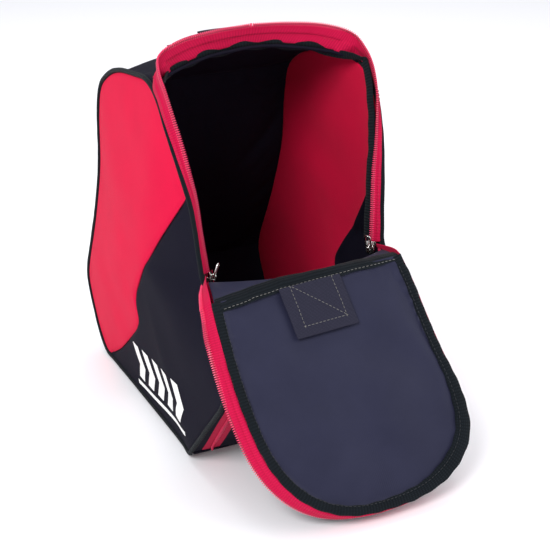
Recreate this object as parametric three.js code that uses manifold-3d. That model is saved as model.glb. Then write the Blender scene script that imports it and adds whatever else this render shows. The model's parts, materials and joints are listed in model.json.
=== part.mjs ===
// Ski boot bag: a free-standing padded bag whose front is a U-shaped zipped flap, folded down open.
// Millimetres, +Z up, front towards -Y. The origin is on the floor under the middle of the base.
import * as THREE from 'three';
import { mergeVertices } from 'three/addons/utils/BufferGeometryUtils.js';
import Module from 'manifold-3d';

const wasm = await Module();
wasm.setup();

// Driving dimensions.
const PIPING_RADIUS = 3.2;
const WALL = 3.5;
const SIDE_WALL = 4;
const GAP = 0.4;
const EDGE = PIPING_RADIUS + GAP;
const SIDE_BULGE = 13;
const SIDE_INSET = 2;
const BASE_FRONT = -142;
const BASE_BACK = 110;
const BASE_HALF = 109;
const LIP = 32;
const BINDING_WIDTH = 9;
const ZIP_HALF = 10;
const GUSSET_REACH = 0.42;
const TAPE = 0.9;
const COIL_RADIUS = 1.6;
const FOLD = new THREE.Vector3(5, -196, 206);
const FLAP_SLOPE = 53;
const TIP_SLOPE = 57.5;
const FLAP_SKEW = 3.5;
const FLAP_START = 4;
const FLAP_LOWER = 128;
const FLAP_TIP = 108;
const FLAP_END = FLAP_LOWER + FLAP_TIP;
const FLAP_ROOT_HALF = 104;
const FLAP_HALF = 113;
const FLAP_ROUNDNESS = 2.5;
const FLAP_BINDING = 10;
const FLAP_TAPE_OUT = 12;
const FOLD_BINDING = 17;
const FLEX_GAP = 1.8;
const FLAP_SHEET = 1.8;
const LINING_SHEET = 1.6;
const SLIDER_CLEAR = 2.4;
const SLIDER_DROP = -1;
const PULL_OUT = 5.6;
const PULL_LENGTH = 22;
const PULL_ROUND = 4.2;
const PULL_TILT = 25;
const HANDLE_HALF = 74;
const HANDLE_WIDTH = 25;
const HANDLE_RISE = 17;
const HANDLE_Y = 2;
const HANDLE_FOOT_Z = 397.7;
const BINDING_REACH = 0.62;

// Half of the seam outline, x is the half-width there: from the front of the base round to its back.
const OUTLINE = [
  [111, -120, 3.6], [113, -139, 4.2], [116, -152, 14], [115, -200, 66], [113, -234, 106],
  [111, -239, 124], [108, -222, 152], [103, -192, 178], [99, -161, 204], [100, -157, 224],
  [104, -148, 272], [110, -131, 312], [114, -111, 348], [114, -92, 369], [113, -62, 380],
  [113, -20, 377], [113, 26, 370], [113, 60, 358], [113, 90, 338], [113, 102, 306], [113, 110, 246],
  [113, 138, 176], [113, 182, 92], [113, 184, 78], [113, 168, 46], [113, 147, 19], [113, 124, 4.8],
  [112, 104, 3.6], [111, 0, 3.6],
];
const FRONT_FROM = 1.25;
const FRONT_TO = 7.9;
const TOP_FROM = 13.6;
const TOP_TO = 17.95;
const BACK_FROM = 18.05;
const BACK_TO = 22.1;
const HEEL_FROM = 22.95;
const HEEL_TO = 25.9;

// Half of the opening's edge, from the slider up the side and over to the middle of the top.
const OPENING = [
  [90, -150, 202], [93.5, -145, 240.5], [97, -140, 279], [101, -136, 304], [105, -130, 330],
  [109.5, -120, 358], [111.5, -107, 379], [111, -91, 393], [105, -76, 405], [80, -66, 414],
  [40, -60, 419], [0, -58, 421],
];
const SIDE_TAPE_END = 7.3;
const TOP_TAPE_START = 7.6;

// The seam between the red upper part and the black lower part of a side, as (y, z).
const COLOUR_SEAM = [
  [-210, 352], [-150, 292], [-110, 247], [-68, 198], [-34, 158], [-17, 132], [-21, 112], [-10, 94],
  [24, 66], [66, 35], [118, 4], [150, -18],
];
const SEAM_STEPS = 44;
const SEAM_SEARCH = 400;
const PRINT_CHEVRONS = 5;
const PRINT_PITCH = 34;

const RED = { color: 0xc4233a, roughness: 0.75, metalness: 0 };
const BLACK = { color: 0x17181c, roughness: 0.8, metalness: 0 };
const LINING = { color: 0x2c2f3b, roughness: 0.7, metalness: 0 };
const BINDING = { color: 0x1d1e22, roughness: 0.9, metalness: 0 };
const WHITE = { color: 0xf2f2f2, roughness: 0.6, metalness: 0 };
const NICKEL = { color: 0xb9bcc2, roughness: 0.3, metalness: 1 };
const BOARD = { color: 0x3a3a3d, roughness: 0.8, metalness: 0 };

const model = new THREE.Group();

function add(name, geometry, look, parent = model) {
  const mesh = new THREE.Mesh(geometry, new THREE.MeshStandardMaterial(look));
  mesh.name = name;
  parent.add(mesh);
  return mesh;
}

// The same piece on the right (x as built) and on the left (mirrored).
function addPair(name, geometry, look) {
  add('right_' + name, geometry, look);
  add('left_' + name, geometry, look).scale.x = -1;
}

function curveOf(points, closed = false) {
  return new THREE.CatmullRomCurve3(points.map((p) => new THREE.Vector3(...p)), closed, 'centripetal');
}

const outline = curveOf(OUTLINE, true);
const opening = curveOf(OPENING);

// The outline's parameter at one of its points.
function outlineAt(index) {
  return index / OUTLINE.length;
}

// A thin wall over surface(u, v), thickened by depth against its normal du x dv.
function sheet(surface, across, along, depth) {
  const box = new THREE.BoxGeometry(1, 1, 1, across, along, 1);
  const place = box.getAttribute('position');
  const step = 1e-3;
  for (let i = 0; i < place.count; i += 1) {
    const u = place.getX(i) + 0.5;
    const v = place.getY(i) + 0.5;
    const inset = (0.5 - place.getZ(i)) * depth;
    const p = surface(u, v);
    const u1 = Math.min(1, u + step);
    const v1 = Math.min(1, v + step);
    const du = surface(u1, v).sub(surface(u1 - step, v));
    const dv = surface(u, v1).sub(surface(u, v1 - step));
    p.addScaledVector(du.cross(dv).normalize(), -inset);
    place.setXYZ(i, p.x, p.y, p.z);
  }
  box.computeVertexNormals();
  return box;
}

// A round cord of the given radius along part of a curve.
function cordAlong(curve, from, to, radius, steps, sides = 6) {
  const ring = new THREE.Shape();
  for (let i = 0; i < sides; i += 1) {
    const turn = (i / sides) * 2 * Math.PI;
    const at = [radius * Math.cos(turn), radius * Math.sin(turn)];
    if (i === 0) ring.moveTo(...at);
    else ring.lineTo(...at);
  }
  const points = [];
  for (let i = 0; i <= steps; i += 1) points.push(curve.getPoint(from + ((to - from) * i) / steps));
  const path = new THREE.CatmullRomCurve3(points, false, 'centripetal');
  return new THREE.ExtrudeGeometry(ring, { extrudePath: path, steps, bevelEnabled: false });
}

function toManifold(geometry) {
  const bare = geometry.clone();
  bare.deleteAttribute('normal');
  bare.deleteAttribute('uv');
  const merged = mergeVertices(bare, 1e-4);
  return new wasm.Manifold(new wasm.Mesh({
    numProp: 3,
    vertProperties: merged.getAttribute('position').array,
    triVerts: new Uint32Array(merged.index.array),
  }));
}

function toGeometry(solid) {
  const mesh = solid.getMesh();
  const geometry = new THREE.BufferGeometry();
  geometry.setAttribute('position', new THREE.BufferAttribute(new Float32Array(mesh.vertProperties), 3));
  geometry.setIndex(new THREE.BufferAttribute(new Uint32Array(mesh.triVerts), 1));
  geometry.computeVertexNormals();
  return geometry;
}

// A point of the bulging right side: share 0 is its middle, 1 its seam; turn goes round the outline.
const SIDE_MIDDLE = new THREE.Vector3(112, -30, 190);
function sidePoint(share, turn, raise) {
  const edge = outline.getPoint(turn);
  const arm = edge.clone().sub(SIDE_MIDDLE);
  const reach = Math.hypot(arm.y, arm.z);
  const inside = (reach - EDGE - SIDE_INSET) / reach;
  const p = SIDE_MIDDLE.clone().addScaledVector(arm, share * inside);
  p.x = SIDE_MIDDLE.x + (edge.x - SIDE_MIDDLE.x) * share ** 2 + SIDE_BULGE * (1 - share ** 2) + raise;
  return p;
}

// A closed lens-shaped skin over the whole side, from a sphere: its far half is the outer face.
function sideSkin(raise, depth, around, rings) {
  const ball = new THREE.SphereGeometry(1, around, rings);
  ball.rotateZ(-Math.PI / 2);
  const place = ball.getAttribute('position');
  for (let i = 0; i < place.count; i += 1) {
    const x = place.getX(i);
    const tilt = Math.acos(THREE.MathUtils.clamp(x, -1, 1)) / (Math.PI / 2);
    const share = tilt <= 1 ? tilt : 2 - tilt;
    let turn = Math.atan2(-place.getZ(i), place.getY(i)) / (2 * Math.PI);
    if (turn < 0) turn += 1;
    const sunk = tilt > 1.001 ? depth : 0;
    const p = sidePoint(share, turn % 1, raise - sunk);
    place.setXYZ(i, p.x, p.y, p.z);
  }
  return toManifold(ball);
}

// Everything on one side of the colour seam, as a thick slab across the side wall.
function seamSlab(upper) {
  const line = new THREE.SplineCurve(COLOUR_SEAM.map((p) => new THREE.Vector2(...p)));
  const shift = (upper ? GAP : -GAP) / 2;
  const shape = new THREE.Shape();
  line.getPoints(SEAM_STEPS).forEach((p, i) => {
    if (i === 0) shape.moveTo(p.x + shift, p.y + shift);
    else shape.lineTo(p.x + shift, p.y + shift);
  });
  if (upper) {
    shape.lineTo(300, -18);
    shape.lineTo(300, 480);
    shape.lineTo(-210, 480);
  } else {
    shape.lineTo(-340, -18);
    shape.lineTo(-340, 352);
  }
  return toManifold(acrossX(shape, 80, 160));
}

// A flat (y, z) shape extruded from x = low to x = high.
function acrossX(shape, low, high) {
  const slab = new THREE.ExtrudeGeometry(shape, { depth: high - low, bevelEnabled: false });
  const turn = new THREE.Matrix4().makeBasis(
    new THREE.Vector3(0, 1, 0),
    new THREE.Vector3(0, 0, 1),
    new THREE.Vector3(1, 0, 0),
  );
  return slab.applyMatrix4(turn).translate(low, 0, 0);
}

function buildSides() {
  const skin = sideSkin(0, SIDE_WALL, 44, 14);
  addPair('side_upper', toGeometry(skin.intersect(seamSlab(true))), RED);
  addPair('side_lower', toGeometry(skin.intersect(seamSlab(false))), BLACK);
  addPair('side_piping', cordAlong(outline, 0, 0.9985, PIPING_RADIUS, 64), BINDING);
}

// A printed mark on the lower part of each side: slanted chevrons standing on a bar.
function buildPrint() {
  const bar = new THREE.Shape([[-140, 20], [40, 20], [36, 26], [-136, 26]].map((p) => new THREE.Vector2(...p)));
  let marks = toManifold(acrossX(bar, 80, 160));
  for (let i = 0; i < PRINT_CHEVRONS; i += 1) {
    const y = -140 + i * PRINT_PITCH;
    const corners = [[17, 25], [32, 25], [17, 46], [32, 68], [17, 68], [0, 46]];
    const chevron = new THREE.Shape(corners.map((p) => new THREE.Vector2(y + p[0], p[1])));
    marks = marks.add(toManifold(acrossX(chevron, 80, 160)));
  }
  const film = sideSkin(GAP + 0.5, 0.5, 44, 14);
  addPair('side_print', toGeometry(film.intersect(marks)), WHITE);
}

// The outward normal of the outline in its own plane.
function outlineNormal(turn) {
  const ahead = outline.getPoint(Math.min(1, turn + 1e-3));
  const back = outline.getPoint(Math.max(0, turn - 1e-3));
  return new THREE.Vector3(0, -(ahead.z - back.z), ahead.y - back.y).normalize().negate();
}

// A wall between the two sides, over the outline from one place to another, crowned in the middle.
function crossWall(from, to, crown, across, along) {
  return sheet((u, v) => {
    const turn = outlineAt(from + (to - from) * v);
    const p = outline.getPoint(turn);
    const side = 2 * u - 1;
    const lift = crown * (1 - side ** 2) * Math.sin(Math.PI * v) ** 0.6;
    return new THREE.Vector3((p.x - EDGE) * side, p.y, p.z).addScaledVector(outlineNormal(turn), lift);
  }, across, along, WALL);
}

// A point of the front below the fold: x across it, v up it; the middle stands out as a lip at the top.
function frontPoint(x, v) {
  const p = outline.getPoint(outlineAt(FRONT_FROM + (FRONT_TO - FRONT_FROM) * v));
  const crown = (1 - (x / p.x) ** 2) * (4 * Math.sin(Math.PI * v) + LIP * v ** 6);
  return new THREE.Vector3(x, p.y - crown, p.z + crown * 0.1);
}

// Distance from the middle to the middle of the closed zip, v up the front.
function zipX(v) {
  return 91 + 8 * Math.sin(Math.PI * Math.min(1, v * 1.05)) - 4 * v ** 4;
}

// A strip of the front between two distances from the middle, which may change up the front.
function frontStrip(inner, outer, depth, across, along, reach = 1) {
  return sheet((u, w) => {
    const v = w * reach;
    return frontPoint(THREE.MathUtils.lerp(inner(v), outer(v), u), v);
  }, across, along, depth);
}

function seamX(v) {
  return outline.getPoint(outlineAt(FRONT_FROM + (FRONT_TO - FRONT_FROM) * v)).x - EDGE;
}

function buildFront() {
  const panelHalf = (v) => zipX(v) - ZIP_HALF - GAP;
  add('front_lower_panel', frontStrip((v) => -panelHalf(v), panelHalf, WALL, 8, 16), BLACK);
  addPair('closed_zip_inner_tape', frontStrip(
    (v) => zipX(v) - ZIP_HALF,
    (v) => zipX(v) - COIL_RADIUS - GAP,
    TAPE, 1, 16), RED);
  addPair('closed_zip_outer_tape', frontStrip(
    (v) => zipX(v) + COIL_RADIUS + GAP,
    (v) => Math.min(zipX(v) + ZIP_HALF, seamX(v) - 0.8),
    TAPE, 1, 16), RED);
  addPair('front_gusset', frontStrip(
    (v) => zipX(v) + ZIP_HALF + GAP,
    seamX,
    WALL * 0.5, 1, 8, GUSSET_REACH), BLACK);
  const coil = [];
  for (let i = 1; i <= 15; i += 1) coil.push(frontPoint(zipX(i / 16), i / 16).toArray());
  addPair('closed_zip_coil', cordAlong(curveOf(coil), 0, 1, COIL_RADIUS - GAP / 2, 22), RED);
}

// The front edge of the top panel, side -1 to 1, arched up and back in the middle.
function topEdge(side) {
  const p = outline.getPoint(outlineAt(TOP_FROM));
  const arch = 1 - side ** 2;
  return new THREE.Vector3((p.x - EDGE) * side, p.y + 24 * arch, p.z + 24 * arch ** 0.7);
}

function topPanel() {
  return sheet((u, v) => {
    const side = 2 * u - 1;
    const p = outline.getPoint(outlineAt(TOP_FROM + (TOP_TO - TOP_FROM) * v));
    const rear = new THREE.Vector3((p.x - EDGE) * side, p.y, p.z + 8 * (1 - side ** 2) * Math.sin(Math.PI * v));
    const front = topEdge(side).sub(topEdge(Math.sign(side) || 1)).setX(0);
    return rear.addScaledVector(front, (1 - v) ** 1.6);
  }, 8, 7, WALL);
}

function buildWalls() {
  const length = BASE_BACK - BASE_FRONT;
  const middle = (BASE_FRONT + BASE_BACK) / 2;
  add('base_panel', new THREE.BoxGeometry(2 * BASE_HALF - 4, length - 10, 2.4).translate(0, middle + 3, 1.2), BLACK);
  add('base_board', new THREE.BoxGeometry(2 * BASE_HALF - 22, length - 34, 2).translate(0, middle + 3, 4), BOARD);
  add('top_panel', topPanel(), BLACK);
  add('back_panel', crossWall(BACK_FROM, BACK_TO, 7, 6, 10), BLACK);
  add('heel_panel', crossWall(HEEL_FROM, HEEL_TO, 3, 6, 6), BLACK);
}

function sideTapeCoil(v) {
  return opening.getPoint(THREE.MathUtils.lerp(0.12, SIDE_TAPE_END, v) / (OPENING.length - 1));
}

// The place on the side seam nearest to the opening's edge, where the zip tape is sewn in.
function sideTapeSeam(v) {
  const coil = sideTapeCoil(v);
  let best = null;
  for (let i = 0; i <= SEAM_SEARCH; i += 1) {
    const p = outline.getPoint(outlineAt(THREE.MathUtils.lerp(7.9, 13.9, i / SEAM_SEARCH)));
    const distance = p.distanceTo(coil);
    if (!best || distance < best.distance) best = { distance, p };
  }
  return best.p;
}

// A strip of zip tape from the coil towards the seam.
function tapeStrip(coilAt, seamAt, along, clear) {
  return sheet((u, v) => {
    const near = coilAt(v);
    const arm = seamAt(v).sub(near);
    const width = arm.length();
    const from = COIL_RADIUS + GAP + 0.2;
    return near.addScaledVector(arm, (from + (width - from - clear) * u) / width);
  }, 1, along, TAPE);
}

function topTapeCoil(v) {
  const side = 1 - 2 * v;
  const last = OPENING.length - 1;
  const at = THREE.MathUtils.lerp(last, TOP_TAPE_START, Math.abs(side)) / last;
  const p = opening.getPoint(at);
  return side < 0 ? p.setX(-p.x) : p;
}

function buildOpening() {
  addPair('body_zip_tape', tapeStrip(sideTapeCoil, sideTapeSeam, 16, EDGE + 0.4), RED);
  add('top_zip_tape', tapeStrip(topTapeCoil, (v) => topEdge(1 - 2 * v), 18, 2.2), RED);
  addPair('body_zip_coil', cordAlong(opening, 0.012, 0.998, COIL_RADIUS, 30), RED);
  addPair('inner_binding', innerBinding(), BINDING);
  add('top_inner_binding', topBinding(), BINDING);
}

// The binding over the seam allowance inside each side of the opening.
function innerBinding() {
  return sheet((u, w) => {
    const v = w * BINDING_REACH;
    const coil = sideTapeCoil(v);
    const towardsSeam = sideTapeSeam(v).sub(coil).normalize();
    return coil.addScaledVector(towardsSeam, 2.4).add(new THREE.Vector3(-2.4, 6.4 + BINDING_WIDTH * u, 0));
  }, 1, 12, 1.2);
}

// The binding inside the top seam, hanging down from it.
function topBinding() {
  return sheet((u, v) => {
    const p = topEdge((2 * u - 1) * 0.85);
    return p.add(new THREE.Vector3(0, 2 - 3 * v, -6 - BINDING_WIDTH * v));
  }, 12, 1, 1.2);
}

// The flap's half-width at a distance from the fold: straight sides running into a broad round end.
function flapHalf(s) {
  const start = FLAP_LOWER * 0.85;
  const swell = FLAP_ROOT_HALF + (FLAP_HALF - FLAP_ROOT_HALF) * Math.sin(Math.min(1, s / start) * Math.PI / 2);
  if (s <= start) return swell;
  const t = Math.min(1, (s - start) / (FLAP_LOWER + FLAP_TIP - start));
  return FLAP_HALF * (1 - t ** FLAP_ROUNDNESS) ** (1 / FLAP_ROUNDNESS);
}

// The right-hand edge of the flap from one distance to another, inset from its outline.
function flapEdge(from, to, inset, steps) {
  const points = [];
  for (let i = 0; i <= steps; i += 1) {
    const ease = Math.sin((i / steps) * Math.PI / 2);
    const s = to < FLAP_END ? from + (to - from) * (i / steps) : from + (to - from) * ease;
    const shrink = s > FLAP_END * 0.5 ? (FLAP_END - inset) / FLAP_END : 1;
    points.push(new THREE.Vector2(Math.max(0, flapHalf(Math.min(FLAP_END, s)) - inset), s * shrink));
  }
  return points;
}

// A flat plate of the flap between two distances from the fold, with its edge inset.
function flapPlate(from, to, inset, low, depth, steps) {
  const edge = flapEdge(from, to, inset, steps);
  const other = edge.map((p) => new THREE.Vector2(-p.x, p.y)).reverse();
  if (to >= FLAP_END) other.shift();
  const shape = new THREE.Shape([...edge, ...other]);
  return new THREE.ExtrudeGeometry(shape, { depth, bevelEnabled: false }).translate(0, 0, low);
}

// A flat ribbon that follows the flap's right edge, or goes round its whole end.
function flapRibbon(from, to, outer, inner, low, depth, steps) {
  const far = flapEdge(from, to, outer, steps);
  const near = flapEdge(from, to, inner, steps);
  const mirrored = (list) => list.map((p) => new THREE.Vector2(-p.x, p.y));
  const round = to >= FLAP_END;
  const rim = round ? [...far, ...mirrored(far).reverse().slice(1)] : far;
  const hem = round ? [...near, ...mirrored(near).reverse().slice(1)] : near;
  const shape = new THREE.Shape([...rim, ...hem.reverse()]);
  return new THREE.ExtrudeGeometry(shape, { depth, bevelEnabled: false }).translate(0, 0, low);
}

function flapCoil(from, to, steps) {
  const edge = flapEdge(from, to, -FLAP_TAPE_OUT, steps);
  const round = to >= FLAP_END;
  const line = round ? [...edge, ...edge.map((p) => new THREE.Vector2(-p.x, p.y)).reverse().slice(1)] : edge;
  const curve = curveOf(line.map((p) => [p.x, p.y, 0]));
  return cordAlong(curve, 0, 1, COIL_RADIUS, round ? 26 : 7);
}

// A frame on the flap: x across it, y away from the fold, z towards its inner face.
function flapFrame(slope) {
  const frame = new THREE.Group();
  const angle = THREE.MathUtils.degToRad(slope);
  const away = new THREE.Vector3(0, -Math.cos(angle), -Math.sin(angle));
  const inner = new THREE.Vector3(0, -Math.sin(angle), Math.cos(angle));
  frame.setRotationFromMatrix(new THREE.Matrix4().makeBasis(new THREE.Vector3(-1, 0, 0), away, inner));
  return frame;
}

// Both side edges of one kind on the lower part of the flap.
function addFlapSides(name, geometry, look, parent) {
  add('right_' + name, geometry, look, parent).scale.x = -1;
  add('left_' + name, geometry, look, parent);
}

function buildFlap() {
  const lower = flapFrame(FLAP_SLOPE);
  lower.position.copy(FOLD);
  lower.rotateZ(THREE.MathUtils.degToRad(FLAP_SKEW));
  model.add(lower);
  const bend = new THREE.Group();
  bend.position.set(0, FLAP_LOWER, 0);
  bend.rotation.x = THREE.MathUtils.degToRad(FLAP_SLOPE - TIP_SLOPE);
  lower.add(bend);
  const tip = new THREE.Group();
  tip.position.set(0, -FLAP_LOWER, 0);
  bend.add(tip);

  const lowerEnd = FLAP_LOWER - FLEX_GAP;
  const tipStart = FLAP_LOWER + FLEX_GAP;
  const panelLow = -FLAP_SHEET - 0.2;
  add('flap_panel_lower', flapPlate(FLAP_START, lowerEnd, 0, panelLow, FLAP_SHEET, 6), BLACK, lower);
  add('flap_panel_tip', flapPlate(tipStart, FLAP_END, 0, panelLow, FLAP_SHEET, 14), BLACK, tip);
  const liningLow = 0.2;
  add('flap_lining_lower', flapPlate(FLAP_START, lowerEnd, 3, liningLow, LINING_SHEET, 6), LINING, lower);
  add('flap_lining_tip', flapPlate(tipStart, FLAP_END, 3, liningLow, LINING_SHEET, 14), LINING, tip);
  const bindingLow = liningLow + LINING_SHEET + GAP;
  addFlapSides('flap_binding', flapRibbon(22, lowerEnd, 0, FLAP_BINDING, bindingLow, 1, 5), BINDING, lower);
  add('flap_binding_tip', flapRibbon(tipStart + 2, FLAP_END, 0, FLAP_BINDING, bindingLow, 1, 14), BINDING, tip);
  addFlapSides('flap_zip_tape', flapRibbon(FLAP_START, lowerEnd, -FLAP_TAPE_OUT + 2.2, -GAP, -0.5, TAPE, 5),
    RED, lower);
  add('flap_zip_tape_tip', flapRibbon(tipStart, FLAP_END, -FLAP_TAPE_OUT + 2.2, -GAP, -0.5, TAPE, 14), RED, tip);
  addFlapSides('flap_zip_coil', flapCoil(FLAP_START, lowerEnd, 5), RED, lower);
  add('flap_zip_coil_tip', flapCoil(tipStart, FLAP_END, 14), RED, tip);
  const foldWidth = FLAP_ROOT_HALF - 2;
  add('fold_binding', new THREE.BoxGeometry(2 * foldWidth, FOLD_BINDING, 1)
    .translate(0, FLAP_START + FOLD_BINDING / 2, bindingLow + 0.5), BINDING, lower);
  add('flap_patch', new THREE.BoxGeometry(62, 46, 1).translate(0, 45.5, bindingLow + 0.5), BINDING, lower);
  add('flap_outer_patch', new THREE.BoxGeometry(62, 46, 1.2)
    .translate(0, 45.5, panelLow - GAP - 0.6), BINDING, lower);
}

// A zip slider: two plates over the coils, joined by a post between them, with a bridge for the pull.
function sliderBody() {
  const box = (x, y, z, cx, cy, cz) => toManifold(new THREE.BoxGeometry(x, y, z).translate(cx, cy, cz));
  const plate = SLIDER_CLEAR + 0.5;
  let body = box(8, 1, 13, 0.2, plate, 0).add(box(8, 1, 13, 0.2, -plate, 0));
  body = body.add(box(1.6, 2 * plate, 4, 3.2, 0, -3));
  body = body.add(box(2.2, 4.6, 8, 0.2, plate + 2.4, 0));
  const eye = new THREE.CylinderGeometry(1.5, 1.5, 6, 10).rotateZ(Math.PI / 2).translate(0.2, PULL_OUT, 0);
  return toGeometry(body.subtract(toManifold(eye)));
}

// The pull: a flat loop with a round lower end, hanging from the slider's bridge.
function pullLoop() {
  const rim = (half, top) => {
    const points = [new THREE.Vector2(half, top), new THREE.Vector2(-half, top)];
    for (let i = 0; i <= 8; i += 1) {
      const turn = Math.PI + (Math.PI * i) / 8;
      points.push(new THREE.Vector2(half * Math.cos(turn), PULL_ROUND - PULL_LENGTH + half * Math.sin(turn)));
    }
    return points;
  };
  const shape = new THREE.Shape(rim(PULL_ROUND, 0.8));
  shape.holes.push(new THREE.Path(rim(PULL_ROUND - 1.5, -0.7)));
  const loop = new THREE.ExtrudeGeometry(shape, { depth: 1.4, bevelEnabled: false });
  return loop.translate(0.2, 0, -0.7);
}

function buildSliders() {
  const along = opening.getPoint(1 / 11).sub(opening.getPoint(0)).normalize();
  const across = sideTapeSeam(0.04).sub(sideTapeCoil(0.04));
  across.addScaledVector(along, -across.dot(along)).normalize();
  const out = across.clone().cross(along);
  for (const side of ['right', 'left']) {
    const mirror = new THREE.Group();
    mirror.scale.x = side === 'left' ? -1 : 1;
    const frame = new THREE.Group();
    frame.setRotationFromMatrix(new THREE.Matrix4().makeBasis(across.clone().negate(), out, along));
    frame.position.copy(opening.getPoint(0)).addScaledVector(along, SLIDER_DROP);
    mirror.add(frame);
    model.add(mirror);
    add(side + '_slider', sliderBody(), NICKEL, frame);
    const loop = new THREE.Group();
    loop.position.set(0, PULL_OUT, 0);
    loop.rotation.x = -THREE.MathUtils.degToRad(90 + PULL_TILT);
    frame.add(loop);
    add(side + '_pull', pullLoop(), NICKEL, loop);
  }
}

// The carrying handle: a webbing arch on the top, with a wrapped grip and a sewn patch at each end.
function buildHandle() {
  const arch = (share) => {
    const x = HANDLE_HALF * share;
    const rise = HANDLE_RISE * (1 - Math.abs(share) ** 3.2);
    return new THREE.Vector3(x, HANDLE_Y, HANDLE_FOOT_Z + rise);
  };
  const strap = (low, high, width, depth, along, lift) => sheet((u, v) => {
    const p = arch(THREE.MathUtils.lerp(low, high, v));
    return p.add(new THREE.Vector3(0, width * (0.5 - u), lift));
  }, 1, along, depth);
  add('handle_webbing', strap(-1, 1, HANDLE_WIDTH, 2, 18, 0), BINDING);
  add('handle_grip', strap(-0.52, 0.52, HANDLE_WIDTH + 3, 1.6, 8, 2.2), BINDING);
  for (const side of [-1, 1]) {
    const foot = new THREE.BoxGeometry(30, HANDLE_WIDTH + 3, 1.2);
    foot.translate(side * (HANDLE_HALF - 6), HANDLE_Y, HANDLE_FOOT_Z - 3.6);
    add(side > 0 ? 'right_handle_patch' : 'left_handle_patch', foot, BINDING);
  }
}

buildSides();
buildPrint();
buildFront();
buildWalls();
buildOpening();
buildFlap();
buildSliders();
buildHandle();

export default model;
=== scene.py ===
import json
import math

import bmesh
import bpy
import numpy as np
from mathutils import Matrix, Vector, noise

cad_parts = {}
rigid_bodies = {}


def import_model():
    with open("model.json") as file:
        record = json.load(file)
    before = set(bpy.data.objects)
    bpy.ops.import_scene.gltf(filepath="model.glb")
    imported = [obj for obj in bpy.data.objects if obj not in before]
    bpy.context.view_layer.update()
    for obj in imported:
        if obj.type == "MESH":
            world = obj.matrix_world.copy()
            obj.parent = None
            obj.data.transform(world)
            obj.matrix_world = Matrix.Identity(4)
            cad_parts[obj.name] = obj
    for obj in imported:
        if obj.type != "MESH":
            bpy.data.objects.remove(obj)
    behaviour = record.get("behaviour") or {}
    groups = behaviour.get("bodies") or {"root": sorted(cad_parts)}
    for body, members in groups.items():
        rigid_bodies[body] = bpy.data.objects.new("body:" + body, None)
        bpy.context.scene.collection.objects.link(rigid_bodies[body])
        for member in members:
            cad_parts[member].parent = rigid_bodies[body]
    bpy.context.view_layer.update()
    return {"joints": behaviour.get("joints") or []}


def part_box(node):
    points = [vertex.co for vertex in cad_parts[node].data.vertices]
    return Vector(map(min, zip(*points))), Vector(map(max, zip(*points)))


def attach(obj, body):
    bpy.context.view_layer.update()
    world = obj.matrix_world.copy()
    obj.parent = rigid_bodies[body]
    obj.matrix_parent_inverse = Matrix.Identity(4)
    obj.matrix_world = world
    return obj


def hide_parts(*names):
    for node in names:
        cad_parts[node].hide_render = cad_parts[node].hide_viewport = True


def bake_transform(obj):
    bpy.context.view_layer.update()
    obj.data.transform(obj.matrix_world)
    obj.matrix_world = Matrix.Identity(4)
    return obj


bl_info = {
    "name": "Ski boot bag",
    "version": (1, 0, 0),
    "blender": (4, 5, 0),
    "location": "3D View > Sidebar > Boot bag",
    "description": "Builds the cloth, zips, bindings and hardware of a boot bag round its frame",
    "category": "Object",
}

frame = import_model()
JOINTS = {joint["name"]: joint for joint in frame["joints"]}
MM = 0.001
SIDES = (("right", 1), ("left", -1))

# Half of the seam outline in millimetres: half-width, depth, height, from the front of the base round.
OUTLINE = (
    (111, -120, 3.6), (113, -139, 4.2), (116, -152, 14), (115, -200, 66), (113, -234, 106),
    (111, -239, 124), (108, -222, 152), (103, -192, 178), (99.5, -157.5, 204), (100.5, -153, 224),
    (104, -145.5, 272), (110, -131, 312), (114, -111, 348), (114, -92, 369), (113, -62, 380),
    (113, -20, 377), (113, 26, 370), (113, 60, 358), (113, 90, 338), (113, 102, 306), (113, 110, 246),
    (113, 138, 176), (113, 182, 92), (113, 184, 78), (113, 168, 46), (113, 147, 19), (113, 124, 4.8),
    (112, 104, 3.6), (111, 0, 3.6),
)
# Half of the opening's edge, from the slider up the side and over to the middle of the top.
OPENING = (
    (90, -150, 202), (93.5, -145, 240.5), (97, -140, 279), (101, -136, 304), (105, -130, 330),
    (109.5, -120, 358), (111.5, -107, 379), (111, -91, 393), (105, -76, 405), (80, -66, 414),
    (40, -60, 419), (0, -58, 421),
)
# The seam between the red and the black cloth of a side, as depth and height.
COLOUR_SEAM = (
    (-141.5, 286), (-110, 247), (-68, 198), (-34, 158), (-17, 132), (-21, 112), (-10, 94),
    (24, 66), (66, 35), (118, 4),
)
FRONT_SPAN = (1.25, 7.9)
TOP_SPAN = (13.6, 17.95)
TOP_OVERHANG = -0.035
BACK_SPAN = (17.95, 22.55)
HEEL_SPAN = (22.5, 26.05)
SIDE_MIDDLE = (-30.0, 190.0)
SIDE_PLANE = 112.0
SIDE_BULGE = 13.0
LIP = 32.0
FOLD = (5.0, -196.0, 206.0)
FLAP_SLOPE = 53.0
TIP_SLOPE = 57.5
FLAP_SKEW = 3.5
FLAP_BEND = 128.0
FLAP_END = 236.0
FLAP_ROOT_HALF = 104.0
FLAP_HALF = 113.0
FLAP_ROUNDNESS = 2.5
FLAP_INSET = 1.5
LIP_HALF = 96.0
HINGE_END = 10.0
HINGE_HEIGHT = 1.2
PRINT_CELL = 2.5
PRINT_LIFT = 0.6
PRINT_FILM = 0.3
PULL_HALF = 3.4
PULL_LENGTH = 12.5
PULL_WIRE = 1.5
PULL_TILT = 115.0
SEAM_OVERLAP = 3.0
CLOTH_STIFFNESS = 12.0
SETTLE_FRAMES = 20
TAPE_GAP = 0.9
TAPE_THICK = 0.9
TAPE_REACH = 10.0
COIL_PITCH = 2.2
COIL_CORE = 1.15
STITCH_PITCH = 4.2
RED_SHADE = 0xC00C38
BLACK_SHADE = 0x12111A
# LINING_SHADE is the dark end of the lining's mottling, partly painted shade for its folds.
LINING_SHADE = 0x1C1D30


# ---------------------------------------------------------------- curves

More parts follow.
